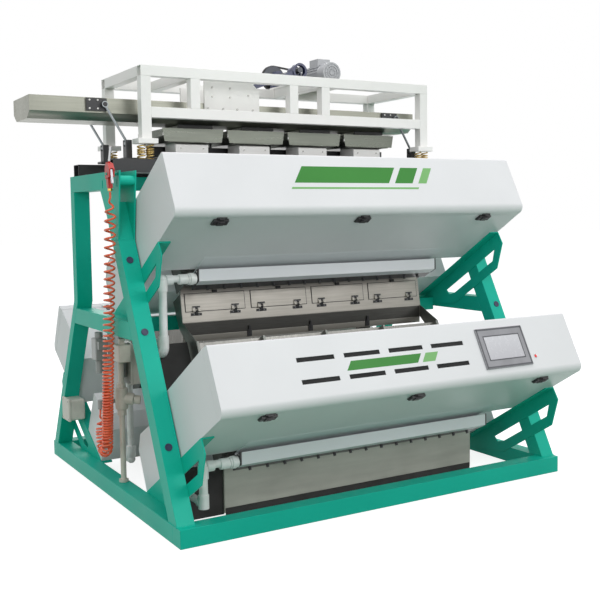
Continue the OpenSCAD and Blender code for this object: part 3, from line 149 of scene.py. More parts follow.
# Air hose
# Orange polyurethane tube wound as a recoil hose. It hangs from the air gun, turns just
# above the floor and climbs back to the filter outlet, its turns drawn apart by its own weight.
# The route is y and z of the coil's middle line in millimetres, from the filter to the gun.
hose_x = -1.085
hose_route = [(812, 430), (812, 400), (810, 340), (806, 290), (800, 262), (784, 242), (764, 236),
              (744, 242), (728, 262), (722, 290), (716, 350), (700, 480), (680, 640), (660, 800),
              (640, 960), (620, 1120), (600, 1280), (586, 1400), (584, 1450)]
hose_route_steps = 120
hose_d = 0.010
hose_coil_r = 0.0225
hose_turn_points = 16
hose_pitch = [(0.00, 0.0120), (0.11, 0.0120), (0.16, 0.021), (0.27, 0.021), (0.33, 0.0125),
              (0.52, 0.0145), (0.80, 0.025), (1.10, 0.035), (1.30, 0.041), (1.60, 0.046)]
hose_end_pitch = 0.060
hose_straight = 0.014
hose_straight_step = 0.004
hose_ease = 0.090
hose_clear = 0.45
hose_clear_depth = (0.014, 0.003, 0.0012)
noise_low, noise_high = 0.3, 0.7


def tone(red, green, blue):
    def linear(value):
        share = value / 255
        return share / 12.92 if share <= 0.04045 else ((share + 0.055) / 1.055) ** 2.4
    return (linear(red), linear(green), linear(blue), 1)


def start_finish(name):
    finish = bpy.data.materials.new(name)
    finish.use_nodes = True
    tree = finish.node_tree
    place = tree.nodes.new("ShaderNodeTexCoord")
    return finish, tree, tree.nodes["Principled BSDF"], place.outputs["Object"]


def grain(tree, place, scale, stretch=(1, 1, 1), detail=4):
    mapping = tree.nodes.new("ShaderNodeMapping")
    mapping.inputs["Scale"].default_value = stretch
    noise = tree.nodes.new("ShaderNodeTexNoise")
    noise.inputs["Scale"].default_value = scale
    noise.inputs["Detail"].default_value = detail
    tree.links.new(place, mapping.inputs["Vector"])
    tree.links.new(mapping.outputs["Vector"], noise.inputs["Vector"])
    return noise.outputs["Fac"]


def spread(tree, share, low, high):
    node = tree.nodes.new("ShaderNodeMapRange")
    node.inputs["From Min"].default_value = noise_low
    node.inputs["From Max"].default_value = noise_high
    node.inputs["To Min"].default_value = low
    node.inputs["To Max"].default_value = high
    tree.links.new(share, node.inputs["Value"])
    return node.outputs["Result"]


def tinted(tree, share, dark, light):
    ramp = tree.nodes.new("ShaderNodeValToRGB")
    ramp.color_ramp.elements[0].position = noise_low
    ramp.color_ramp.elements[0].color = dark
    ramp.color_ramp.elements[1].position = noise_high
    ramp.color_ramp.elements[1].color = light
    tree.links.new(share, ramp.inputs["Fac"])
    return ramp.outputs["Color"]


def shaded(colour, factor):
    return tuple(min(1, part * factor) for part in colour[:3]) + (1,)


def pressed(tree, shader, height, strength, depth):
    bump = tree.nodes.new("ShaderNodeBump")
    bump.inputs["Strength"].default_value = strength
    bump.inputs["Distance"].default_value = depth
    tree.links.new(height, bump.inputs["Height"])
    tree.links.new(bump.outputs["Normal"], shader.inputs["Normal"])


def moulded_plastic(name, colour, rough=0.42, grain_size=0.002, coat=0.0, glow=0.0):
    finish, tree, shader, place = start_finish(name)
    cloud = grain(tree, place, 14, detail=3)
    skin = grain(tree, place, 1 / grain_size, detail=2)
    tree.links.new(tinted(tree, cloud, shaded(colour, 0.88), shaded(colour, 1.08)),
                   shader.inputs["Base Color"])
    tree.links.new(spread(tree, cloud, rough - 0.07, rough + 0.09), shader.inputs["Roughness"])
    pressed(tree, shader, skin, 0.25, 0.0002)
    shader.inputs["Coat Weight"].default_value = coat
    if glow:
        shader.inputs["Emission Color"].default_value = colour
        shader.inputs["Emission Strength"].default_value = glow
    return finish


def made_active(piece):
    bpy.ops.object.select_all(action="DESELECT")
    piece.select_set(True)
    bpy.context.view_layer.objects.active = piece


def evened(piece):
    even = piece.modifiers.new("normals", "WEIGHTED_NORMAL")
    even.weight = 90
    even.keep_sharp = True
    return even.name


def painted(piece, finish):
    piece.data.materials.clear()
    piece.data.materials.append(finish)


def dressed(piece, finish, body):
    if piece.type == "MESH":
        made_active(piece)
        bpy.ops.object.modifier_apply(modifier=evened(piece))
    painted(piece, finish)
    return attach(piece, body)


def drawn_tube(name, points, radius, roundness):
    curve = bpy.data.curves.new(name, "CURVE")
    curve.dimensions = "3D"
    curve.bevel_depth = radius
    curve.bevel_resolution = roundness
    curve.use_fill_caps = True
    line = curve.splines.new("POLY")
    line.points.add(len(points) - 1)
    for point, place in zip(line.points, points):
        point.co = (*place, 1)
    piece = bpy.data.objects.new(name, curve)
    bpy.context.scene.collection.objects.link(piece)
    return piece


def smooth_line(points, steps):
    ends = [points[0]] + points + [points[-1]]
    line = []
    for first in range(len(points) - 1):
        a, b, c, d = (Vector(point) for point in ends[first:first + 4])
        for step in range(steps):
            t = step / steps
            line.append(0.5 * (2 * b + (c - a) * t + (2 * a - 5 * b + 4 * c - d) * t ** 2
                               + (3 * b - a - 3 * c + d) * t ** 3))
    return line + [Vector(points[-1])]


def run_of(line):
    return sum((b - a).length for a, b in zip(line, line[1:]))


def pitch_at(distance):
    for (start, low), (end, high) in zip(hose_pitch, hose_pitch[1:]):
        if distance <= end:
            return low + (high - low) * (distance - start) / (end - start)
    return hose_pitch[-1][1]


hose_line = smooth_line([(hose_x, y / 1000, z / 1000) for y, z in hose_route], hose_route_steps)
hose_run = run_of(hose_line)
side = Vector((1, 0, 0))
turned = last_turn = gone = 0
hose_points = [hose_line[0]]
for here, after in zip(hose_line, hose_line[1:]):
    step = after - here
    gone += step.length
    out_of_end = min(gone, hose_run - gone) - hose_straight
    ease = max(0, min(1, out_of_end / hose_ease))
    turned += 2 * math.pi * step.length / (hose_end_pitch + (pitch_at(gone) - hose_end_pitch) * ease)
    if out_of_end < 0:
        last_turn = turned
        if (after - hose_points[-1]).length > hose_straight_step:
            hose_points.append(after)
        continue
    if turned - last_turn < 2 * math.pi / hose_turn_points:
        continue
    last_turn = turned
    reach = hose_coil_r * ease * ease * (3 - 2 * ease)
    across = step.normalized().cross(side)
    hose_points.append(after + reach * (math.cos(turned) * side + math.sin(turned) * across))
hose_points.append(hose_line[-1])

hose = drawn_tube("air_hose_coil", hose_points, hose_d / 2, 3)
hose_orange = moulded_plastic("hose_orange", tone(255, 108, 62), rough=0.34, grain_size=0.006, coat=0.3)
hose_shader = hose_orange.node_tree.nodes["Principled BSDF"]
hose_shader.inputs["Subsurface Weight"].default_value = hose_clear
hose_shader.inputs["Subsurface Radius"].default_value = hose_clear_depth
dressed(hose, hose_orange, "machine")
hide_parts("air_hose")


# Air gun
# Red moulded blow gun hung on the post's peg, with a plated nozzle, a brass inlet nut
# and a steel trigger lever.
peg_y, peg_z = 0.5853, 1.530
nozzle_lean = math.radians(20)
nozzle_base = Vector((hose_x, peg_y + 0.002, peg_z + 0.044))
nozzle_way = Vector((0, -math.sin(nozzle_lean), math.cos(nozzle_lean)))
nozzle_start, nozzle_end = 0.014, 0.0808
nozzle_r = 0.0056
inlet_place = (hose_x, peg_y - 0.001)
inlet_low = 1.4545
inlet_nut_r = 0.0112
inlet_collar_r = 0.0085
corner_angle = 40
smooth_angle = 35
node_corner_angle = 38
node_fold_angle = 48
node_weld = 0.00002


def finished(name, piece):
    piece.name = name
    piece.data.name = name
    return piece


def bevelled(piece, width, steps, angle):
    bevel = piece.modifiers.new("edge", "BEVEL")
    bevel.width = width
    bevel.segments = steps
    bevel.limit_method = "ANGLE"
    bevel.angle_limit = math.radians(angle)
    return bevel.name


def round_edges(piece, edge, steps=2):
    made_active(piece)
    bpy.ops.object.modifier_apply(modifier=bevelled(piece, edge, steps, corner_angle))
    bpy.ops.object.shade_smooth_by_angle(angle=math.radians(smooth_angle))


def bar(name, start, end, radius, edge, sides=32):
    bpy.ops.object.select_all(action="DESELECT")
    start, end = Vector(start), Vector(end)
    way = end - start
    bpy.ops.mesh.primitive_cylinder_add(vertices=sides, radius=radius, depth=way.length,
                                        location=(start + end) / 2,
                                        rotation=way.to_track_quat("Z", "Y").to_euler())
    piece = finished(name, bpy.context.object)
    bpy.ops.object.transform_apply(location=True, rotation=True, scale=True)
    round_edges(piece, edge)
    return piece


def upright(name, place, start, end, radius, edge, sides=32):
    return bar(name, (*place, start), (*place, end), radius, edge, sides)


def picked(piece, kind, test):
    made_active(piece)
    bpy.ops.object.mode_set(mode="EDIT")
    bpy.ops.mesh.select_mode(type=kind)
    bpy.ops.mesh.select_all(action="DESELECT")
    bpy.ops.object.mode_set(mode="OBJECT")
    for part in piece.data.polygons if kind == "FACE" else piece.data.vertices:
        part.select = test(part)
    bpy.ops.object.mode_set(mode="EDIT")


def dished(piece, way, rim, depth):
    largest = max((face.area for face in piece.data.polygons
                   if face.normal.dot(way) > 0.9), default=0)
    picked(piece, "FACE", lambda face: face.normal.dot(way) > 0.9 and face.area > 0.6 * largest)
    bpy.ops.mesh.inset(thickness=rim)
    bpy.ops.mesh.extrude_region_move(TRANSFORM_OT_translate={"value": -depth * Vector(way)})
    bpy.ops.object.mode_set(mode="OBJECT")
    return piece


def joined(name, pieces):
    made_active(pieces[0])
    for piece in pieces:
        piece.select_set(True)
    bpy.ops.object.join()
    return finished(name, bpy.context.object)


def brushed_steel(name, colour, stretch, rough=0.32, streak=0.10, marks=0.10, relief=0.12, metal=1.0):
    finish, tree, shader, place = start_finish(name)
    lines = grain(tree, place, 1, stretch, detail=5)
    smudge = grain(tree, place, 5, detail=6)
    mixed = tree.nodes.new("ShaderNodeMath")
    mixed.operation = "MULTIPLY_ADD"
    mixed.inputs[1].default_value = 0.55
    tree.links.new(lines, mixed.inputs[0])
    halved = tree.nodes.new("ShaderNodeMath")
    halved.operation = "MULTIPLY"
    halved.inputs[1].default_value = 0.45
    tree.links.new(smudge, halved.inputs[0])
    tree.links.new(halved.outputs[0], mixed.inputs[2])
    tree.links.new(tinted(tree, mixed.outputs[0], shaded(colour, 1 - marks - streak),
                          shaded(colour, 1 + streak)), shader.inputs["Base Color"])
    tree.links.new(spread(tree, mixed.outputs[0], rough + 0.12, rough - 0.08), shader.inputs["Roughness"])
    pressed(tree, shader, lines, relief, 0.0002)
    shader.inputs["Metallic"].default_value = metal
    return finish


def coat_nodes(names, finish, edge, steps=2, flat=0.6):
    for node in (nodes[name] for name in names):
        painted(node, finish)
        weld = node.modifiers.new("weld", "WELD")
        weld.merge_threshold = node_weld
        plane = node.modifiers.new("flats", "DECIMATE")
        plane.decimate_type = "DISSOLVE"
        plane.angle_limit = math.radians(flat)
        bevelled(node, edge, steps, node_corner_angle)
        split = node.modifiers.new("folds", "EDGE_SPLIT")
        split.split_angle = math.radians(node_fold_angle)
        evened(node)
        for face in node.data.polygons:
            face.use_smooth = True


gun_red = moulded_plastic("gun_red", tone(196, 42, 34), rough=0.35, grain_size=0.0015)
lever_steel = brushed_steel("lever_steel", tone(150, 152, 156), (300, 300, 60), rough=0.3)
bright_steel = brushed_steel("bright_steel", tone(196, 197, 198), (60, 60, 500), rough=0.2,
                             streak=0.05, marks=0.04)
brass = brushed_steel("brass", tone(206, 170, 92), (300, 300, 120), rough=0.28)
coat_nodes(["air_gun"], gun_red, 0.002)
coat_nodes(["gun_trigger"], lever_steel, 0.002)
nozzle = bar("gun_nozzle", nozzle_base + nozzle_start * nozzle_way,
             nozzle_base + nozzle_end * nozzle_way, nozzle_r, 0.0012)
dressed(dished(nozzle, nozzle_way, 0.0015, 0.006), bright_steel, "machine")
inlet = joined("gun_inlet", [
    upright("inlet_nut", inlet_place, inlet_low + 0.001, inlet_low + 0.011, inlet_nut_r, 0.0008, sides=6),
    upright("inlet_collar", inlet_place, inlet_low - 0.002, inlet_low + 0.002, inlet_collar_r, 0.0008)])
dressed(inlet, brass, "machine")


# Base frame
# Welded square steel tube with raked front posts, bent rear posts, plate heads and bracket
# ears, sprayed in green enamel after welding, with plugs pressed into the posts' service holes.
frame_nodes = ["front_sill", "base_sills", "front_posts", "post_heads", "rear_posts", "side_rails",
               "cross_tubes", "ear_brackets"]
frame_tube = 0.080
tilt = math.radians(27.5)
post_foot = -0.008
post_inner, post_outer = 0.970, 1.050
post_depth = frame_tube / math.cos(tilt)
post_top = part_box("front_posts")[1].z
sill_top = frame_tube
sill_back = 0.040
plug_x = 1.015
plug_heights = [0.376, 0.836, 1.145]
plug_r = 0.0165
plug_t = 0.004
bead_r = 0.0035
bead_ripple = (0.86, 1.12)
bead_step = 1.6 * bead_r
bead_gap = 0.002


def sprayed_enamel(name, colour, rough=0.34, peel=0.003, coat=0.25, dust=0.07, gloss=0.5):
    finish, tree, shader, place = start_finish(name)
    cloud = grain(tree, place, 2.6, detail=5)
    peel_height = grain(tree, place, 1 / peel, detail=2)
    wipe = grain(tree, place, 4, stretch=(1, 1, 0.4), detail=3)
    tree.links.new(tinted(tree, cloud, shaded(colour, 1 - dust), shaded(colour, 1 + dust)),
                   shader.inputs["Base Color"])
    tree.links.new(spread(tree, wipe, rough - 0.02, rough + 0.04), shader.inputs["Roughness"])
    pressed(tree, shader, peel_height, 0.10, 0.0003)
    shader.inputs["Specular IOR Level"].default_value = gloss
    shader.inputs["Coat Weight"].default_value = coat
    shader.inputs["Coat Roughness"].default_value = 0.12
    return finish


def post_face(height):
    return post_foot + (height - sill_top) * math.tan(tilt)


def meshed(tube):
    made_active(tube)
    bpy.ops.object.convert(target="MESH")
    bpy.ops.object.shade_smooth()
    return bpy.context.object


def weld_bead(start, end):
    start, end = Vector(start), Vector(end)
    steps = 2 * max(6, int((end - start).length / bead_step))
    bead = drawn_tube("bead", [start.lerp(end, step / steps) for step in range(steps + 1)], bead_r, 1)
    for step, point in enumerate(bead.data.splines[0].points):
        point.radius = bead_ripple[step % 2]
    return meshed(bead)


green_enamel = sprayed_enamel("green_enamel", tone(16, 185, 161), rough=0.44, coat=0.02, dust=0.05,
                              gloss=0.20)
coat_nodes(frame_nodes, green_enamel, 0.0018, steps=3)

navy_plastic = moulded_plastic("navy_plastic", tone(52, 58, 88), rough=0.38)
front_face = Vector((0, -math.cos(tilt), math.sin(tilt)))
plugs = []
for x in (-plug_x, plug_x):
    for height in plug_heights:
        base = Vector((x, post_face(height), height))
        plug = bar("plug", base - 0.001 * front_face, base + plug_t * front_face, plug_r, 0.0015)
        plugs.append(dished(plug, front_face, 0.004, 0.0015))
dressed(joined("post_plugs", plugs), navy_plastic, "machine")

beads = []
for sign in (-1, 1):
    inner, outer = sign * post_inner, sign * post_outer
    foot, head = post_face(sill_top), post_face(post_top)
    seams = [((inner, foot, sill_top), (outer, foot, sill_top)),
             ((inner, foot, sill_top), (inner, foot + post_depth, sill_top)),
             ((outer, foot, sill_top), (outer, foot + post_depth, sill_top)),
             ((inner, sill_back, bead_gap), (inner, sill_back, sill_top - bead_gap)),
             ((inner, sill_back, sill_top), (outer, sill_back, sill_top)),
             ((inner, head, post_top), (inner, head + post_depth, post_top)),
             ((outer, head, post_top), (outer, head + post_depth, post_top))]
    beads += [weld_bead(start, end) for start, end in seams]
dressed(joined("frame_welds", beads), green_enamel, "machine")


# Hood shells
# Folded white sheet boxes on the ears, one above the other at the front and one at the back,
# each closed by a door. Black over-centre catches are screwed under their front edges.
stage_nose = Vector((0, 0.123, 1.348))
stage_pitch = 0.874
middle_y = 0.8655
shell_front = 0.050
catch_places = (-0.740, 0, 0.740)
catch_t = 0.012
paddle_w = 0.034
hook_w = 0.022
catch_screw_x = (-0.027, 0.027)
catch_screw_y = (0.010, 0.030)
screw_r = 0.0042


def stage_frame(stage):
    front = (Matrix.Translation(stage_nose) @ Matrix.Rotation(-tilt, 4, "X")
             @ Matrix.Translation((0, 0, -stage_pitch * min(stage, 1))))
    if stage < 2:
        return front
    about = Matrix.Translation((0, middle_y, 0))
    return about @ Matrix.Rotation(math.pi, 4, "Z") @ about.inverted() @ front


def seated(piece, frame_matrix):
    made_active(piece)
    piece.matrix_world = frame_matrix
    bpy.ops.object.transform_apply(location=True, rotation=True, scale=True)
    return piece


def facing(place, way):
    return Matrix.Translation(place) @ Vector(way).to_track_quat("Z", "Y").to_matrix().to_4x4()


def slab(name, low, high, edge, steps=2):
    bpy.ops.object.select_all(action="DESELECT")
    middle = [(a + b) / 2 for a, b in zip(low, high)]
    size = [b - a for a, b in zip(low, high)]
    bpy.ops.mesh.primitive_cube_add(size=1, location=middle, scale=size)
    piece = finished(name, bpy.context.object)
    bpy.ops.object.transform_apply(location=True, rotation=True, scale=True)
    round_edges(piece, edge, steps)
    return piece


def centred_slab(name, x, width, depth, height, edge, steps=2):
    low = (x - width / 2, depth[0], height[0])
    high = (x + width / 2, depth[1], height[1])
    return slab(name, low, high, edge, steps)


def screw_head(radius=screw_r, height=0.0028, sides=16):
    head = bar("screw", (0, 0, -0.001), (0, 0, height), radius, 0.0007, sides)
    return dished(head, Vector((0, 0, 1)), radius * 0.42, height * 0.5)


def placed_copies(name, model, frames):
    copies = []
    for matrix in frames:
        copy = model.copy()
        copy.data = model.data.copy()
        bpy.context.scene.collection.objects.link(copy)
        copies.append(seated(copy, matrix))
    bpy.data.objects.remove(model)
    return joined(name, copies)


white_enamel = sprayed_enamel("white_enamel", tone(230, 230, 232), rough=0.38, coat=0.05, dust=0.025,
                              gloss=0.26)
coat_nodes(["upper_hood_shell", "lower_hood_shell", "rear_hood_shell"], white_enamel, 0.0007)
black_plastic = moulded_plastic("black_plastic", tone(30, 30, 32), rough=0.45)
coat_nodes(["latches"], black_plastic, 0.0008)
zinc_screw = brushed_steel("zinc_screw", tone(186, 186, 182), (500, 500, 500), rough=0.3)

catch_parts = []
catch_screws = []
for stage in range(3):
    at = stage_frame(stage)
    for x in catch_places:
        paddle = centred_slab("paddle", x, paddle_w, (shell_front + 0.002, shell_front + 0.034),
                              (-catch_t - 0.006, -catch_t + 0.001), 0.0014)
        hook = centred_slab("hook", x, hook_w, (shell_front - 0.001, shell_front + 0.012),
                            (-catch_t - 0.009, -catch_t - 0.004), 0.002)
        catch_parts += [seated(paddle, at), seated(hook, at)]
        catch_screws += [at @ facing((x + dx, shell_front + dy, -catch_t - 0.0005), (0, 0, -1))
                         for dx in catch_screw_x for dy in catch_screw_y]
dressed(joined("catch_paddles", catch_parts), black_plastic, "machine")
dressed(placed_copies("catch_screws", screw_head(), catch_screws), black_plastic,
        "machine")


# Hood doors
# Lift-up trays of folded white sheet with a rounded nose, hung on black pinned hinges. Each
# carries keepers for its catches, and the two at the front have plain printed green bars.
door_bodies = ["upper_door", "lower_door", "rear_door"]
door_d = 0.048
door_h = 0.298
keeper_w = 0.048
keeper_depth = (0.0372, door_d - 0.0004)
keeper_height = (-0.0052, 0.0004)
keeper_lip_w = 0.026
keeper_lip_depth = (0.0385, 0.0435)
keeper_lip_height = (-0.0105, -0.004)
print_t = 0.0004
upper_row = (0.150, 0.236, 0.060)
upper_underline = (0.118, 0.128, 0.007)
lower_row = (0.128, 0.169, 0.030)
slot_starts = [-0.587, -0.356, -0.125, 0.106]
slot_w = 0.183
slot_h = 0.020
slot_rows = [0.305 * door_h, 0.625 * door_h]
shade_lap_x = 0.012
shade_lap_z = 0.010
shade_depth = (0.0032, 0.0058)


def slanted_bar(name, left, right, low, high, lean):
    piece = slab(name, (left, -print_t, low), (right, print_t / 4, high), print_t / 6, 1)
    middle = (low + high) / 2
    picked(piece, "VERT", lambda vertex: vertex.co.z > middle)
    bpy.ops.transform.translate(value=(lean, 0, 0))
    bpy.ops.object.mode_set(mode="OBJECT")
    return piece


coat_nodes(["upper_hood_door", "lower_hood_door", "rear_hood_door"], white_enamel, 0.0006, flat=0.4)
hinge_black = sprayed_enamel("hinge_black", tone(28, 28, 30), rough=0.42, dust=0.12)
coat_nodes(["hood_hinges"], hinge_black, 0.0008)

print_green = sprayed_enamel("print_green", tone(64, 136, 60), rough=0.44, coat=0.02, dust=0.05, gloss=0.2)
print_pale = sprayed_enamel("print_pale", tone(128, 184, 116), rough=0.44, coat=0.02, dust=0.05, gloss=0.2)
for name, stage, left, right, row, finish in (
        ("upper_print_long", 0, -0.360, 0.160, upper_row, print_green),
        ("upper_print_middle", 0, 0.195, 0.300, upper_row, print_green),
        ("upper_print_short", 0, 0.335, 0.385, upper_row, print_pale),
        ("upper_print_line", 0, -0.385, 0.325, upper_underline, print_pale),
        ("lower_print_wide", 1, -0.360, 0.010, lower_row, print_green),
        ("lower_print_narrow", 1, 0.035, 0.105, lower_row, print_pale)):
    dressed(seated(slanted_bar(name, left, right, *row), stage_frame(stage)), finish,
            door_bodies[stage])

for stage, body in enumerate(door_bodies):
    keepers = []
    for x in catch_places:
        keepers.append(centred_slab("keeper", x, keeper_w, keeper_depth, keeper_height, 0.001))
        keepers.append(centred_slab("lip", x, keeper_lip_w, keeper_lip_depth, keeper_lip_height, 0.0012))
    keeper = seated(joined(body + "_keepers", keepers), stage_frame(stage))
    dressed(keeper, black_plastic, body)

# A black sheet behind the lower door's slots is painted shade: it darkens the slots like the shaded inside
# of the hood.
slot_shade_sheet = moulded_plastic("slot_shade_black", tone(26, 26, 27), rough=0.85, grain_size=0.0012)
shade_left, shade_right = slot_starts[0] - shade_lap_x, slot_starts[-1] + slot_w + shade_lap_x
slot_shades = [slab("filter", (shade_left, shade_depth[0], z - shade_lap_z),
                (shade_right, shade_depth[1], z + slot_h + shade_lap_z), 0.0008) for z in slot_rows]
dressed(seated(joined("slot_shade_sheets", slot_shades), stage_frame(1)), slot_shade_sheet, "lower_door")


# Touch screen
# Grey moulded bezel clipped through the lower door, with a dark rim, a toughened glass panel
# lightened towards its top by a painted reflection, a thin dark mask round the display and a red
# indicator in a plated collar beside it.
mask_w = 0.0045
rim_w = 0.0075
rim_inset = 0.003
face_depth = 0.0015
glass_sheen_heights = (0.66, 0.77)
indicator_x, indicator_z = 0.693, 0.0945
collar_r = 0.0105


def panel_glass(name, low_tone, high_tone):
    finish, tree, shader, place = start_finish(name)
    # The glass turns lighter towards its top between two heights: a painted reflection.
    fade = tree.nodes.new("ShaderNodeSeparateXYZ")
    tree.links.new(place, fade.inputs[0])
    speck = grain(tree, place, 60, detail=5)
    slope = tree.nodes.new("ShaderNodeMapRange")
    slope.inputs["From Min"].default_value = glass_sheen_heights[0]
    slope.inputs["From Max"].default_value = glass_sheen_heights[1]
    tree.links.new(fade.outputs["Z"], slope.inputs["Value"])
    ramp = tree.nodes.new("ShaderNodeValToRGB")
    ramp.color_ramp.elements[0].color = low_tone
    ramp.color_ramp.elements[1].color = high_tone
    tree.links.new(slope.outputs["Result"], ramp.inputs["Fac"])
    tree.links.new(ramp.outputs["Color"], shader.inputs["Base Color"])
    tree.links.new(spread(tree, speck, 0.22, 0.30), shader.inputs["Roughness"])
    shader.inputs["Coat Weight"].default_value = 0.15
    shader.inputs["Coat Roughness"].default_value = 0.08
    return finish


def points_in(frame_matrix, name):
    inward = frame_matrix.inverted()
    return [inward @ vertex.co for vertex in nodes[name].data.vertices]


def box_of(points):
    return ([min(point[axis] for point in points) for axis in range(3)],
            [max(point[axis] for point in points) for axis in range(3)])


def strip_frame(name, left, right, low, high, width, depth):
    strips = (((left, low), (right, low + width)), ((left, high - width), (right, high)),
              ((left, low), (left + width, high)), ((right - width, low), (right, high)))
    return [slab(name, (start[0], depth[0], start[1]), (end[0], depth[1], end[1]), 0.0003)
            for start, end in strips]


bezel_face = moulded_plastic("bezel_face", tone(150, 149, 154), rough=0.40, grain_size=0.0012)
coat_nodes(["touch_screen"], bezel_face, 0.003, steps=3)
display_glass = panel_glass("display_glass", tone(194, 192, 198), tone(213, 212, 217))
coat_nodes(["screen_glass"], display_glass, 0.0006)
indicator_red = moulded_plastic("indicator_red", tone(214, 36, 30), rough=0.2, coat=0.5, glow=0.25)
coat_nodes(["indicator_lamp"], indicator_red, 0.002, steps=3)

low, high = box_of(points_in(stage_frame(1), "screen_glass"))
mask_parts = strip_frame("mask", low[0], high[0], low[2], high[2], mask_w,
                         (low[1] - 0.0008, low[1] + 0.0002))
bezel = points_in(stage_frame(1), "touch_screen")
face_y = min(point.y for point in bezel)
low, high = box_of([point for point in bezel if point.y < face_y + face_depth])
mask_parts += strip_frame("rim", low[0] + rim_inset, high[0] - rim_inset, low[2] + rim_inset,
                          high[2] - rim_inset, rim_w, (face_y - 0.0010, face_y + 0.0004))
mask_grey = moulded_plastic("mask_grey", tone(84, 85, 90), rough=0.35)
dressed(seated(joined("screen_mask", mask_parts), stage_frame(1)), mask_grey, "lower_door")
collar = bar("indicator_collar", (indicator_x, -0.002, indicator_z), (indicator_x, 0.0002, indicator_z),
             collar_r, 0.0006)
dressed(seated(dished(collar, Vector((0, -1, 0)), 0.0026, 0.0012), stage_frame(1)), bright_steel,
        "lower_door")


# Lamp housings
# Long extruded aluminium housings under each hood that light the falling grain, closed by
# black end caps held by four screws each.
cap_screw_r = 0.0038
cap_inset = 0.008
cap_heel = 0.014
cap_toe = 0.034

# The aluminium is drawn as pale non-metal paint: silver in part, and in part a painted reflection of the
# bright floor on its downward faces.
lamp_silver_and_reflection = sprayed_enamel("lamp_silver_and_reflection", tone(226, 228, 231), rough=0.40, peel=0.0012, coat=0.05,
                             dust=0.03)
coat_nodes(["lamp_housings"], lamp_silver_and_reflection, 0.0008)
coat_nodes(["lamp_end_caps"], black_plastic, 0.001)
cap_screws = []
for stage in range(3):
    at = stage_frame(stage)
    low, high = box_of([point for point in points_in(at, "lamp_end_caps")
                        if abs(point.z) < 0.2 and point.y > 0.3])
    for sign in (-1, 1):
        for y, z in ((low[1] + cap_heel, high[2] - cap_inset), (high[1] - cap_inset, high[2] - cap_inset),
                     (high[1] - cap_inset, low[2] + cap_inset), (high[1] - cap_toe, low[2] + cap_inset)):
            cap_screws.append(at @ facing((sign * high[0], y, z), (sign, 0, 0)))
dressed(placed_copies("cap_screws", screw_head(cap_screw_r), cap_screws), zinc_screw,
        "machine")


# Cameras and chutes
# Polished stainless slides with dividers between the lanes, black camera housings inside the
# hoods, closed white camera boxes behind the slides and air ejector bars below, coloured black
# as painted shade under the lamp housings.
chute_steel = brushed_steel("chute_steel", tone(134, 133, 129), (90, 5, 5), rough=0.30, streak=0.05,
                            relief=0.03)
divider_steel = brushed_steel("divider_steel", tone(130, 132, 128), (60, 8, 8), rough=0.42, streak=0.04,
                              relief=0.03)
black_enamel = sprayed_enamel("black_enamel", tone(34, 35, 37), rough=0.45, dust=0.14)
coat_nodes(["chutes"], chute_steel, 0.0006)
coat_nodes(["chute_dividers", "chute_side_plates"], divider_steel, 0.0006)
coat_nodes(["camera_units"], black_enamel, 0.0012)
coat_nodes(["camera_boxes"], white_enamel, 0.0012)
# The ejector bars are black as painted shade: they stand for the shaded underside of the lamps.
coat_nodes(["ejector_bars"], black_enamel, 0.0008)


# Collector band
# Stainless cover across the chutes with four drop-down doors on black hinges and rubber seals,
# and a stainless apron below, darkened with painted shade, with a light edge strip that black clamps hold.
band_at = Matrix.Translation((0, 0.669, 0.828)) @ Matrix.Rotation(math.radians(-9), 4, "X")
band_doors = ["band_door_1", "band_door_2", "band_door_3", "band_door_4"]
band_front = (0, -1, 0)
lane_x = [-0.534, -0.178, 0.178, 0.534]
band_axis = 0.0525
band_door_w = 0.318
band_door_h = 0.084
band_door_t = 0.003
hinge_reach = 0.105
hinge_screw_r = 0.0029
hinge_screw_x = (-0.013, 0.013)
door_screw_y, door_screw_z = -band_door_t - 0.0040, band_axis + 0.0165
band_screw_y, band_screw_z = -0.0030, band_axis - 0.0155
leaf_w = 0.042
leaf_depth = (-band_door_t - 0.0042, -band_door_t - 0.0004)
leaf_height = (band_axis + 0.0075, band_axis + 0.0245)
seal_w = 0.0026
seal_gap = 0.0004
seal_depth = (-0.0024, 0.0002)
hook_gap = 0.016
hinge_gap = (0.080, 0.130)
apron_inset, strip_inset = 0.004, 0.002
apron_front, strip_front, apron_back = 0.6694, 0.6684, 0.6708
apron_height = (0.764, 0.8245)
strip_height = (0.740, 0.7635)
clamp_x = (-0.356, 0, 0.356)
clamp_w = 0.024
clamp_depth = (0.6625, 0.6700)
clamp_height = (0.738, 0.770)
clamp_tail_w = 0.010
clamp_tail_depth = (0.6600, 0.6660)
clamp_tail_height = (0.752, 0.792)

band_steel = brushed_steel("band_steel", tone(150, 147, 140), (5, 130, 130), rough=0.34, streak=0.06,
                           relief=0.06)
coat_nodes(["collector_band"] + band_doors, band_steel, 0.0005)
coat_nodes(["band_hinges"], black_plastic, 0.0007)

screw_grey = moulded_plastic("screw_grey", tone(116, 116, 121), rough=0.40, grain_size=0.0012)
low_screws = []
for lane, x in enumerate(lane_x):
    leaves = []
    screws = []
    for middle in (x - hinge_reach, x + hinge_reach):
        leaves.append(centred_slab("leaf", middle, leaf_w, leaf_depth, leaf_height, 0.0012))
        for dx in hinge_screw_x:
            screws.append(band_at @ facing((middle + dx, door_screw_y, door_screw_z), band_front))
            low_screws.append(band_at @ facing((middle + dx, band_screw_y, band_screw_z), band_front))
    body = band_doors[lane]
    dressed(seated(joined(body + "_leaves", leaves), band_at), black_plastic, body)
    dressed(placed_copies(body + "_screws", screw_head(hinge_screw_r), screws), screw_grey,
            body)
dressed(placed_copies("band_hinge_screws", screw_head(hinge_screw_r), low_screws), screw_grey,
        "machine")

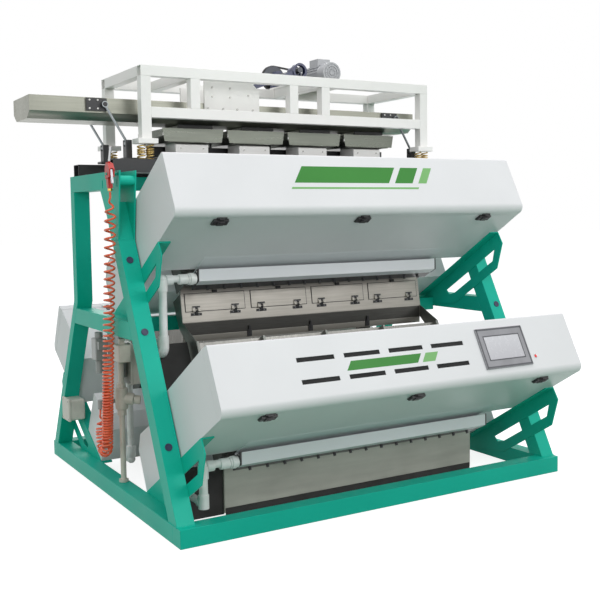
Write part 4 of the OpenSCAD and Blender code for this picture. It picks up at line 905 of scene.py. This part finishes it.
seals = []
for x in lane_x:
    left, right = x - band_door_w / 2 - seal_gap, x + band_door_w / 2 + seal_gap
    low, high = band_axis - seal_gap, band_axis + band_door_h + seal_gap
    below, above = low - seal_w, high + seal_w
    for start, end, foot, head in (
            (left - seal_w, left, below, above), (right, right + seal_w, below, above),
            (left, x - hook_gap, high, above), (x + hook_gap, right, high, above),
            (left, x - hinge_gap[1], below, low), (x - hinge_gap[0], x + hinge_gap[0], below, low),
            (x + hinge_gap[1], right, below, low)):
        seals.append(slab("seal", (start, seal_depth[0], foot), (end, seal_depth[1], head), 0.0004))
dressed(seated(joined("band_seals", seals), band_at), black_plastic, "machine")

band_low, band_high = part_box("collector_band")
# The apron is stainless drawn much darker than the band: painted shade below the band.
apron_painted_shade_steel = brushed_steel("apron_painted_shade_steel", tone(84, 83, 80), (9, 260, 260), rough=0.34, marks=0.2)
apron = slab("apron_panel", (band_low.x + apron_inset, apron_front, apron_height[0]),
             (band_high.x - apron_inset, apron_back, apron_height[1]), 0.0004)
dressed(apron, apron_painted_shade_steel, "machine")
strip = slab("apron_strip", (band_low.x + strip_inset, strip_front, strip_height[0]),
             (band_high.x - strip_inset, apron_back, strip_height[1]), 0.0008)
dressed(strip, band_steel, "machine")
clamps = []
for x in clamp_x:
    clamps.append(centred_slab("clamp", x, clamp_w, clamp_depth, clamp_height, 0.0015))
    clamps.append(centred_slab("tail", x, clamp_tail_w, clamp_tail_depth, clamp_tail_height, 0.0012))
dressed(joined("apron_clamps", clamps), black_plastic, "machine")


# Outlet hoppers
# Stainless discharge boxes under both lowest chutes, dulled by handling and grain dust. Rubber
# skirts hang below them, and rubber baffles close the space beside the lower chutes. A black
# sheet under the left end of the lower lamp is painted shade.
skirt_face = 0.2492
skirt_t = 0.002
skirt_inset = 0.004
skirt_height = (0.0015, 0.034)
shade_panel_low, shade_panel_high = (-0.955, 0.262, 0.004), (-0.708, 0.266, 0.240)
baffle_ends = (0.722, 0.955)
baffle_depth = (0.704, 0.708)
baffle_low = 0.215
baffle_tops = {-1: 0.560, 1: 0.500}

hopper_steel = brushed_steel("hopper_steel", tone(180, 181, 171), (3, 24, 24), rough=0.44, streak=0.05,
                             marks=0.20, metal=0.35)
coat_nodes(["outlet_hoppers"], hopper_steel, 0.0007)
curtain_rubber = moulded_plastic("curtain_rubber", tone(38, 37, 36), rough=0.75, grain_size=0.003)
hopper_low, hopper_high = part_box("outlet_hoppers")
skirts = []
for face in (skirt_face, 2 * middle_y - skirt_face):
    skirts.append(slab("skirt", (hopper_low.x + skirt_inset, face - skirt_t / 2, skirt_height[0]),
                       (hopper_high.x - skirt_inset, face + skirt_t / 2, skirt_height[1]), 0.0006))
# This black sheet is painted shade: it fills the dark space under the left end of the lower lamp.
skirts.append(slab("shade_panel", shade_panel_low, shade_panel_high, 0.001))
dressed(joined("hopper_skirts", skirts), curtain_rubber, "machine")
baffles = []
for sign, top in baffle_tops.items():
    left, right = sorted(sign * end for end in baffle_ends)
    baffles.append(slab("baffle", (left, baffle_depth[0], baffle_low),
                        (right, baffle_depth[1], top), 0.001))
dressed(seated(joined("side_baffles", baffles), stage_frame(1)), curtain_rubber, "machine")


# Cable pipes
# Glued plastic conduit from the lamp ends down the left side, with socket elbows and a ribbed
# union at each lamp. The upper pipe runs back to a gland on the terminal box.
pipe_r = 0.017
pipe_x = -0.865
pipe_reach = 0.024
socket_r = 0.0238
socket_l = 0.062
sleeve_r = pipe_r + 0.0022
elbow_bend = 0.040
elbow_drop = 0.022
gland_r = 0.0262
gland_l = 0.034
cap_end = -0.700
lamp_port = Vector((0, 0.5085, -0.0746))
union_rings = [(0.001, 0.012, 0.0250), (0.013, 0.032, 0.0282), (0.033, 0.042, 0.0256),
               (0.043, 0.086, socket_r), (0.116, 0.150, socket_r)]
rear_drop_y = 1.015
rear_drop_z = 0.112
terminal_low, terminal_high = (-0.916, 0.815, 0.528), (-0.842, 0.984, 0.730)


def bent_pipe(corners, radius, bend):
    route = [Vector(corner) for corner in corners]
    line = [route[0]]
    for before, corner, after in zip(route, route[1:], route[2:]):
        start = corner + bend * (before - corner).normalized()
        end = corner + bend * (after - corner).normalized()
        for step in range(9):
            t = step / 8
            line.append((1 - t) ** 2 * start + 2 * t * (1 - t) * corner + t ** 2 * end)
    piece = meshed(drawn_tube("elbow", line + [route[-1]], radius, 5))
    bpy.ops.object.shade_smooth_by_angle(angle=math.radians(corner_angle))
    return piece


pipe_plastic = moulded_plastic("pipe_plastic", tone(249, 250, 247), rough=0.34, grain_size=0.004, coat=0.15)
coat_nodes(["conduit_pipes"], pipe_plastic, 0.001)
pipe_parts = []
drop_ends = []
for stage in (0, 1):
    port = stage_frame(stage) @ lamp_port
    drop_ends.append(min(vertex.co.z for vertex in nodes["conduit_pipes"].data.vertices
                         if abs(vertex.co.x - pipe_x) < pipe_reach
                         and abs(vertex.co.y - port.y) < pipe_reach and vertex.co.z < port.z))
    for start, end, radius in union_rings:
        pipe_parts.append(bar("union", (cap_end - start, port.y, port.z), (cap_end - end, port.y, port.z),
                              radius, 0.0018, sides=40))
    drop, low = (pipe_x, port.y), drop_ends[-1]
    pipe_parts.append(upright("socket", drop, port.z + 0.006, port.z - 0.052, socket_r, 0.0018, sides=40))
    pipe_parts.append(upright("socket", drop, low + 0.001, low + socket_l, socket_r, 0.0018, sides=40))
    pipe_parts.append(upright("sleeve", drop, low + 0.060, port.z - 0.050, sleeve_r, 0.0008, sides=40))

upper_y = (stage_frame(0) @ lamp_port).y
upper_level = drop_ends[0] - elbow_drop
upper_end = Vector((pipe_x, terminal_low[1] + 0.001, upper_level))
pipe_parts.append(bent_pipe([(pipe_x, upper_y, drop_ends[0] + 0.030), (pipe_x, upper_y, upper_level),
                             (pipe_x, upper_y + 0.060, upper_level)], socket_r, elbow_bend))
pipe_parts.append(bar("run", (pipe_x, upper_y + 0.050, upper_level), upper_end, pipe_r, 0.001))
pipe_parts.append(bar("gland", upper_end - Vector((0, gland_l, 0)), upper_end, gland_r, 0.002, sides=12))
pipe_parts.append(bent_pipe([(pipe_x, rear_drop_y, 0.180), (pipe_x, rear_drop_y, rear_drop_z),
                             (pipe_x, rear_drop_y + 0.100, rear_drop_z)], socket_r, elbow_bend))
dressed(joined("pipe_collars", pipe_parts), pipe_plastic, "machine")


# Junction boxes
# Pale moulded boxes with screwed lids for the cables: the terminal box hangs on a strap behind
# the left front post, and a smaller one is fixed to the left rear post.
strap_y = (0.925, 0.965)
strap_drop, strap_rise = 0.030, 0.140
post_box_low, post_box_high = (-1.052, 1.425, 0.252), (-0.968, 1.540, 0.366)
terminal_lid, post_box_lid = 0.012, 0.008
lid_screw_r = 0.004


def junction_box(low, high, corner, steps, lid_out, lid_in, lid_lap, lid_edge):
    case = slab("case", low, high, corner, steps)
    lid = slab("lid", (low[0] - lid_out, low[1] - lid_lap, low[2] - lid_lap),
               (low[0] + lid_in, high[1] + lid_lap, high[2] + lid_lap), lid_edge, 3)
    return [case, lid]


def lid_screws(low, high, lid_out, inset):
    return [facing((low[0] - lid_out, y, z), (-1, 0, 0))
            for y in (low[1] + inset, high[1] - inset) for z in (low[2] + inset, high[2] - inset)]


box_grey = moulded_plastic("box_grey", tone(216, 212, 202), rough=0.45, grain_size=0.003)
strap = slab("strap", (terminal_high[0] - 0.004, strap_y[0], terminal_high[2] - strap_drop),
             (terminal_high[0] + 0.002, strap_y[1], terminal_high[2] + strap_rise), 0.001)
box_parts = junction_box(terminal_low, terminal_high, corner=0.006, steps=3, lid_out=terminal_lid,
                         lid_in=0.002, lid_lap=0.002, lid_edge=0.004) + [strap]
box_parts += junction_box(post_box_low, post_box_high, corner=0.012, steps=4, lid_out=post_box_lid,
                          lid_in=0.006, lid_lap=0.004, lid_edge=0.005)
box_screws = (lid_screws(terminal_low, terminal_high, terminal_lid, inset=0.012)
              + lid_screws(post_box_low, post_box_high, post_box_lid, inset=0.009))
dressed(joined("junction_boxes", box_parts), box_grey, "machine")
dressed(placed_copies("junction_screws", screw_head(lid_screw_r), box_screws), zinc_screw,
        "machine")


# Feeder
# Black deck on cross beams with four white magnetic drives, held by small screws, under stainless
# trays that shake the grain forward onto the chutes. Each tray has a front plate on two ears.
trays = ["feeder_tray_1", "feeder_tray_2", "feeder_tray_3", "feeder_tray_4"]
flap_w = 0.336
flap_t = 0.0016
flap_gap = 0.0035
flap_taper = 0.93
ear_x = 0.138
ear_w = 0.012
drive_screw_r = 0.0045
drive_screw_x = (-0.062, 0.062)
drive_screw_z = (0.022, 0.056)

coat_nodes(["feeder_base", "rod_clamps"], black_enamel, 0.001)
white_frame = sprayed_enamel("white_frame", tone(243, 242, 239), rough=0.36, coat=0.20, dust=0.03)
coat_nodes(["tray_drives"], white_frame, 0.004, steps=3)
tray_steel = brushed_steel("tray_steel", tone(119, 123, 114), (5, 80, 80), rough=0.30, streak=0.05,
                           relief=0.05, metal=0.85)
coat_nodes(trays, tray_steel, 0.0005)
for lane, x in enumerate(lane_x):
    tray_low, tray_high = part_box(trays[lane])
    tray_middle = (tray_low.z + tray_high.z) / 2
    flap_y = tray_low.y - flap_gap
    flap = centred_slab("flap", x, flap_w, (flap_y - flap_t / 2, flap_y + flap_t / 2),
                        (tray_low.z + 0.003, tray_high.z + 0.005), 0.0003, 1)
    picked(flap, "VERT", lambda vertex: vertex.co.z < tray_middle)
    bpy.ops.transform.resize(value=(flap_taper, 1, 1), center_override=(x, flap_y, tray_low.z))
    bpy.ops.object.mode_set(mode="OBJECT")
    ears = [centred_slab("ear", middle, ear_w, (flap_y - 0.0004, tray_low.y + 0.004),
                         (tray_high.z - 0.016, tray_high.z - 0.004), 0.0006)
            for middle in (x - ear_x, x + ear_x)]
    dressed(joined("tray_flap_%d" % (lane + 1), [flap] + ears), tray_steel,
            "tray_%d" % (lane + 1))
drive_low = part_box("tray_drives")[0]
drive_screws = [facing((x + dx, drive_low.y, drive_low.z + dz), (0, -1, 0))
                for x in lane_x for dx in drive_screw_x for dz in drive_screw_z]
dressed(placed_copies("drive_screws", screw_head(drive_screw_r), drive_screws), zinc_screw,
        "machine")


# Feed trough
# Long folded stainless trough shaken on four inclined rods, with slide gates under its outlets,
# black clamp blocks at the rods and white bolted plates that take the drive's push.
plate_faces = ((0.889, -1), (1.200, 1))
plate_bolt_places = [(-0.455, 1.880), (-0.370, 1.880), (-0.290, 1.880), (-0.200, 1.880), (-0.430, 1.985),
                     (-0.330, 1.985), (-0.430, 1.940), (-0.330, 1.940), (-0.225, 1.955)]
plate_bolt_r, plate_bolt_h = 0.0058, 0.005
rod_x = (-0.9982, 0.7068)
rod_z = 1.872
block_inset = 0.0215
block_bolt_x = (-0.070, -0.030)
block_bolt_z = (-0.020, 0.020)
block_bolt_r, block_bolt_h = 0.005, 0.004
bush_r = 0.0125
bush_reach = (0.0130, 0.0214)

trough_steel = brushed_steel("trough_steel", tone(150, 151, 140), (4, 90, 90), rough=0.34, streak=0.05,
                             relief=0.05, metal=0.8)
rod_steel = brushed_steel("rod_steel", tone(140, 146, 148), (200, 200, 200), rough=0.26)
coat_nodes(["feed_trough"], trough_steel, 0.0006)
coat_nodes(["outlet_gates"], tray_steel, 0.0005)
coat_nodes(["trough_blocks"], black_enamel, 0.0012)
coat_nodes(["trough_plates"], white_frame, 0.0015)
coat_nodes(["swing_rods_left", "swing_rods_right"], rod_steel, 0.0008)

plate_bolts = [facing((x, y, z), (0, way, 0)) for x, z in plate_bolt_places for y, way in plate_faces]
dressed(placed_copies("plate_bolts", screw_head(plate_bolt_r, plate_bolt_h, sides=6), plate_bolts),
        zinc_screw, "trough")
block_low, block_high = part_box("trough_blocks")
block_bolts = []
bushes = []
for x in rod_x:
    for y, way in ((block_low.y + block_inset, -1), (block_high.y - block_inset, 1)):
        block_bolts += [facing((x + dx, y, rod_z + dz), (0, way, 0))
                        for dx in block_bolt_x for dz in block_bolt_z]
        start, end = ((x, y + way * reach, rod_z) for reach in bush_reach)
        bushes.append(bar("bush", start, end, bush_r, 0.002))
dressed(placed_copies("block_bolts", screw_head(block_bolt_r, block_bolt_h, sides=6), block_bolts),
        zinc_screw, "trough")
dressed(joined("block_bushes", bushes), black_plastic, "trough")


# Drive frame
# White welded tube frame that carries the motor above the trough. It stands on eight coil
# springs, so its shaking stays off the sorter.
spring_wire_r = 0.0035
spring_r = 0.0175
spring_turns = 5
spring_steps = 24 * spring_turns
spring_ease = 0.06
spring_foot_x = 0.828
spring_pair_x = 0.022
spring_y = (0.801, 1.318)
spring_places = [(sign * spring_foot_x + step * spring_pair_x, y)
                 for sign in (-1, 1) for step in (-1, 1) for y in spring_y]

coat_nodes(["top_frame"], white_frame, 0.0016, steps=3)
spring_yellow = brushed_steel("spring_yellow", tone(206, 180, 116), (120, 120, 300), rough=0.3)
spring_low, spring_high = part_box("isolation_springs")
spring_rise = spring_high.z - spring_low.z - 2 * spring_wire_r
coils = []
for x, y in spring_places:
    coil = []
    for step in range(spring_steps + 1):
        share = step / spring_steps
        eased = share + spring_ease * math.sin(2 * math.pi * share)
        angle = 2 * math.pi * spring_turns * share
        coil.append((x + spring_r * math.cos(angle), y + spring_r * math.sin(angle),
                     spring_low.z + spring_wire_r + spring_rise * eased))
    coils.append(meshed(drawn_tube("spring", coil, spring_wire_r, 3)))
springs = dressed(joined("spring_coils", coils), spring_yellow, "machine")
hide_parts("isolation_springs")


# Motor and crank
# Finned cast motor with a pressed fan cover, driving the crank shaft by a flat belt. The
# shaft turns in two navy bearing blocks and pushes the trough through a navy rod.
motor_x, motor_z = 0.382, 2.130
fan_centre = Vector((motor_x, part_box("motor")[0].y + 0.0004, motor_z))
fan_rings = (0.0115, 0.0245, 0.0375)
fan_ring_wire_r = 0.0016
fan_spokes = 12
fan_spoke_start, fan_spoke_end = 0.008, 0.050
fan_spoke_r = 0.0013

cast_grey = sprayed_enamel("cast_grey", tone(176, 178, 181), rough=0.40, peel=0.0016, dust=0.10)
pulley_iron = brushed_steel("pulley_iron", tone(78, 80, 84), (300, 40, 300), rough=0.38)
navy_enamel = sprayed_enamel("navy_enamel", tone(44, 50, 84), rough=0.4, dust=0.12)
belt_rubber = moulded_plastic("belt_rubber", tone(34, 34, 35), rough=0.7, grain_size=0.001)
coat_nodes(["motor"], cast_grey, 0.0008)
coat_nodes(["motor_pulley", "crank_pulley"], pulley_iron, 0.0008)
coat_nodes(["pillow_blocks"], navy_enamel, 0.0015)
coat_nodes(["connecting_rod"], navy_enamel, 0.0012)
painted(nodes["drive_belt"], belt_rubber)

fan_parts = []
for radius in fan_rings:
    bpy.ops.object.select_all(action="DESELECT")
    bpy.ops.mesh.primitive_torus_add(major_radius=radius, minor_radius=fan_ring_wire_r, major_segments=48,
                                     minor_segments=8, location=fan_centre, rotation=(math.pi / 2, 0, 0))
    bpy.ops.object.transform_apply(location=True, rotation=True, scale=True)
    bpy.ops.object.shade_smooth()
    fan_parts.append(bpy.context.object)
for spoke in range(fan_spokes):
    angle = 2 * math.pi * spoke / fan_spokes
    way = Vector((math.cos(angle), 0, math.sin(angle)))
    fan_parts.append(bar("spoke", fan_centre + fan_spoke_start * way, fan_centre + fan_spoke_end * way,
                         fan_spoke_r, 0.0004, sides=8))
dressed(joined("fan_grille", fan_parts), cast_grey, "drive_frame")


# Air filter
# Cast alloy filter set on a plate under the left rail, where the air hose starts. Its plastic
# drain line stands on the side sill in front of it, and the supply's regulator hangs behind.
drain_place = (-1.000, 0.752)
cup_low, cup_high = 0.660, 0.742
cup_port_r = 0.0150
valve_low, valve_high = 0.430, 0.534
drain_rings = [("pipe", sill_top + 0.0015, cup_low + 0.002, 0.0135, 0.001, 40),
               ("foot", sill_top + 0.0005, sill_top + 0.0145, 0.0230, 0.002, 40),
               ("nut", valve_low - 0.028, valve_low + 0.002, 0.0230, 0.0025, 8),
               ("nut", valve_high - 0.002, valve_high + 0.022, 0.0210, 0.0025, 8),
               ("valve", valve_low, valve_high, 0.0310, 0.008, 12)]
bonnet_r = 0.0300
bonnet_cap_r = 0.0220
regulator_low, regulator_high = (-1.042, 0.988, 0.632), (-0.984, 1.060, 0.742)
regulator_block_low, regulator_block_high = (-1.036, 0.960, 0.690), (-0.990, 0.990, 0.730)
regulator_place = (-1.013, 1.024)
regulator_knob_r = 0.0200
regulator_bowl_r = 0.0190

filter_alloy = sprayed_enamel("filter_alloy", tone(150, 152, 150), rough=0.4, dust=0.1)
coat_nodes(["air_filter"], filter_alloy, 0.0015)
drain_grey = moulded_plastic("drain_grey", tone(206, 202, 190), rough=0.42, grain_size=0.004)
drain_x, drain_y = drain_place
drain_parts = [upright(name, drain_place, start, end, radius, edge, sides)
               for name, start, end, radius, edge, sides in drain_rings]
drain_parts += [
    bar("bonnet", (drain_x, drain_y, 0.484), (drain_x + 0.052, drain_y - 0.026, 0.476), bonnet_r, 0.006, 8),
    bar("bonnet_cap", (drain_x + 0.050, drain_y - 0.025, 0.476), (drain_x + 0.080, drain_y - 0.040, 0.472),
        bonnet_cap_r, 0.004, 8),
    slab("cup", (drain_x - 0.029, drain_y - 0.062, cup_low), (drain_x + 0.031, drain_y + 0.022, cup_high),
         0.006, 3),
    upright("cup_port", (drain_x, drain_y - 0.020), cup_high - 0.002, cup_high + 0.028, cup_port_r, 0.002)]
dressed(joined("drain_line", drain_parts), drain_grey, "machine")
regulator = joined("regulator", [
    slab("body", regulator_low, regulator_high, 0.006, 3),
    slab("block", regulator_block_low, regulator_block_high, 0.002),
    upright("knob", regulator_place, regulator_high[2] - 0.001, regulator_high[2] + 0.030,
            regulator_knob_r, 0.004),
    upright("bowl", regulator_place, regulator_low[2] + 0.002, regulator_low[2] - 0.066,
            regulator_bowl_r, 0.007)])
dressed(regulator, filter_alloy, "machine")
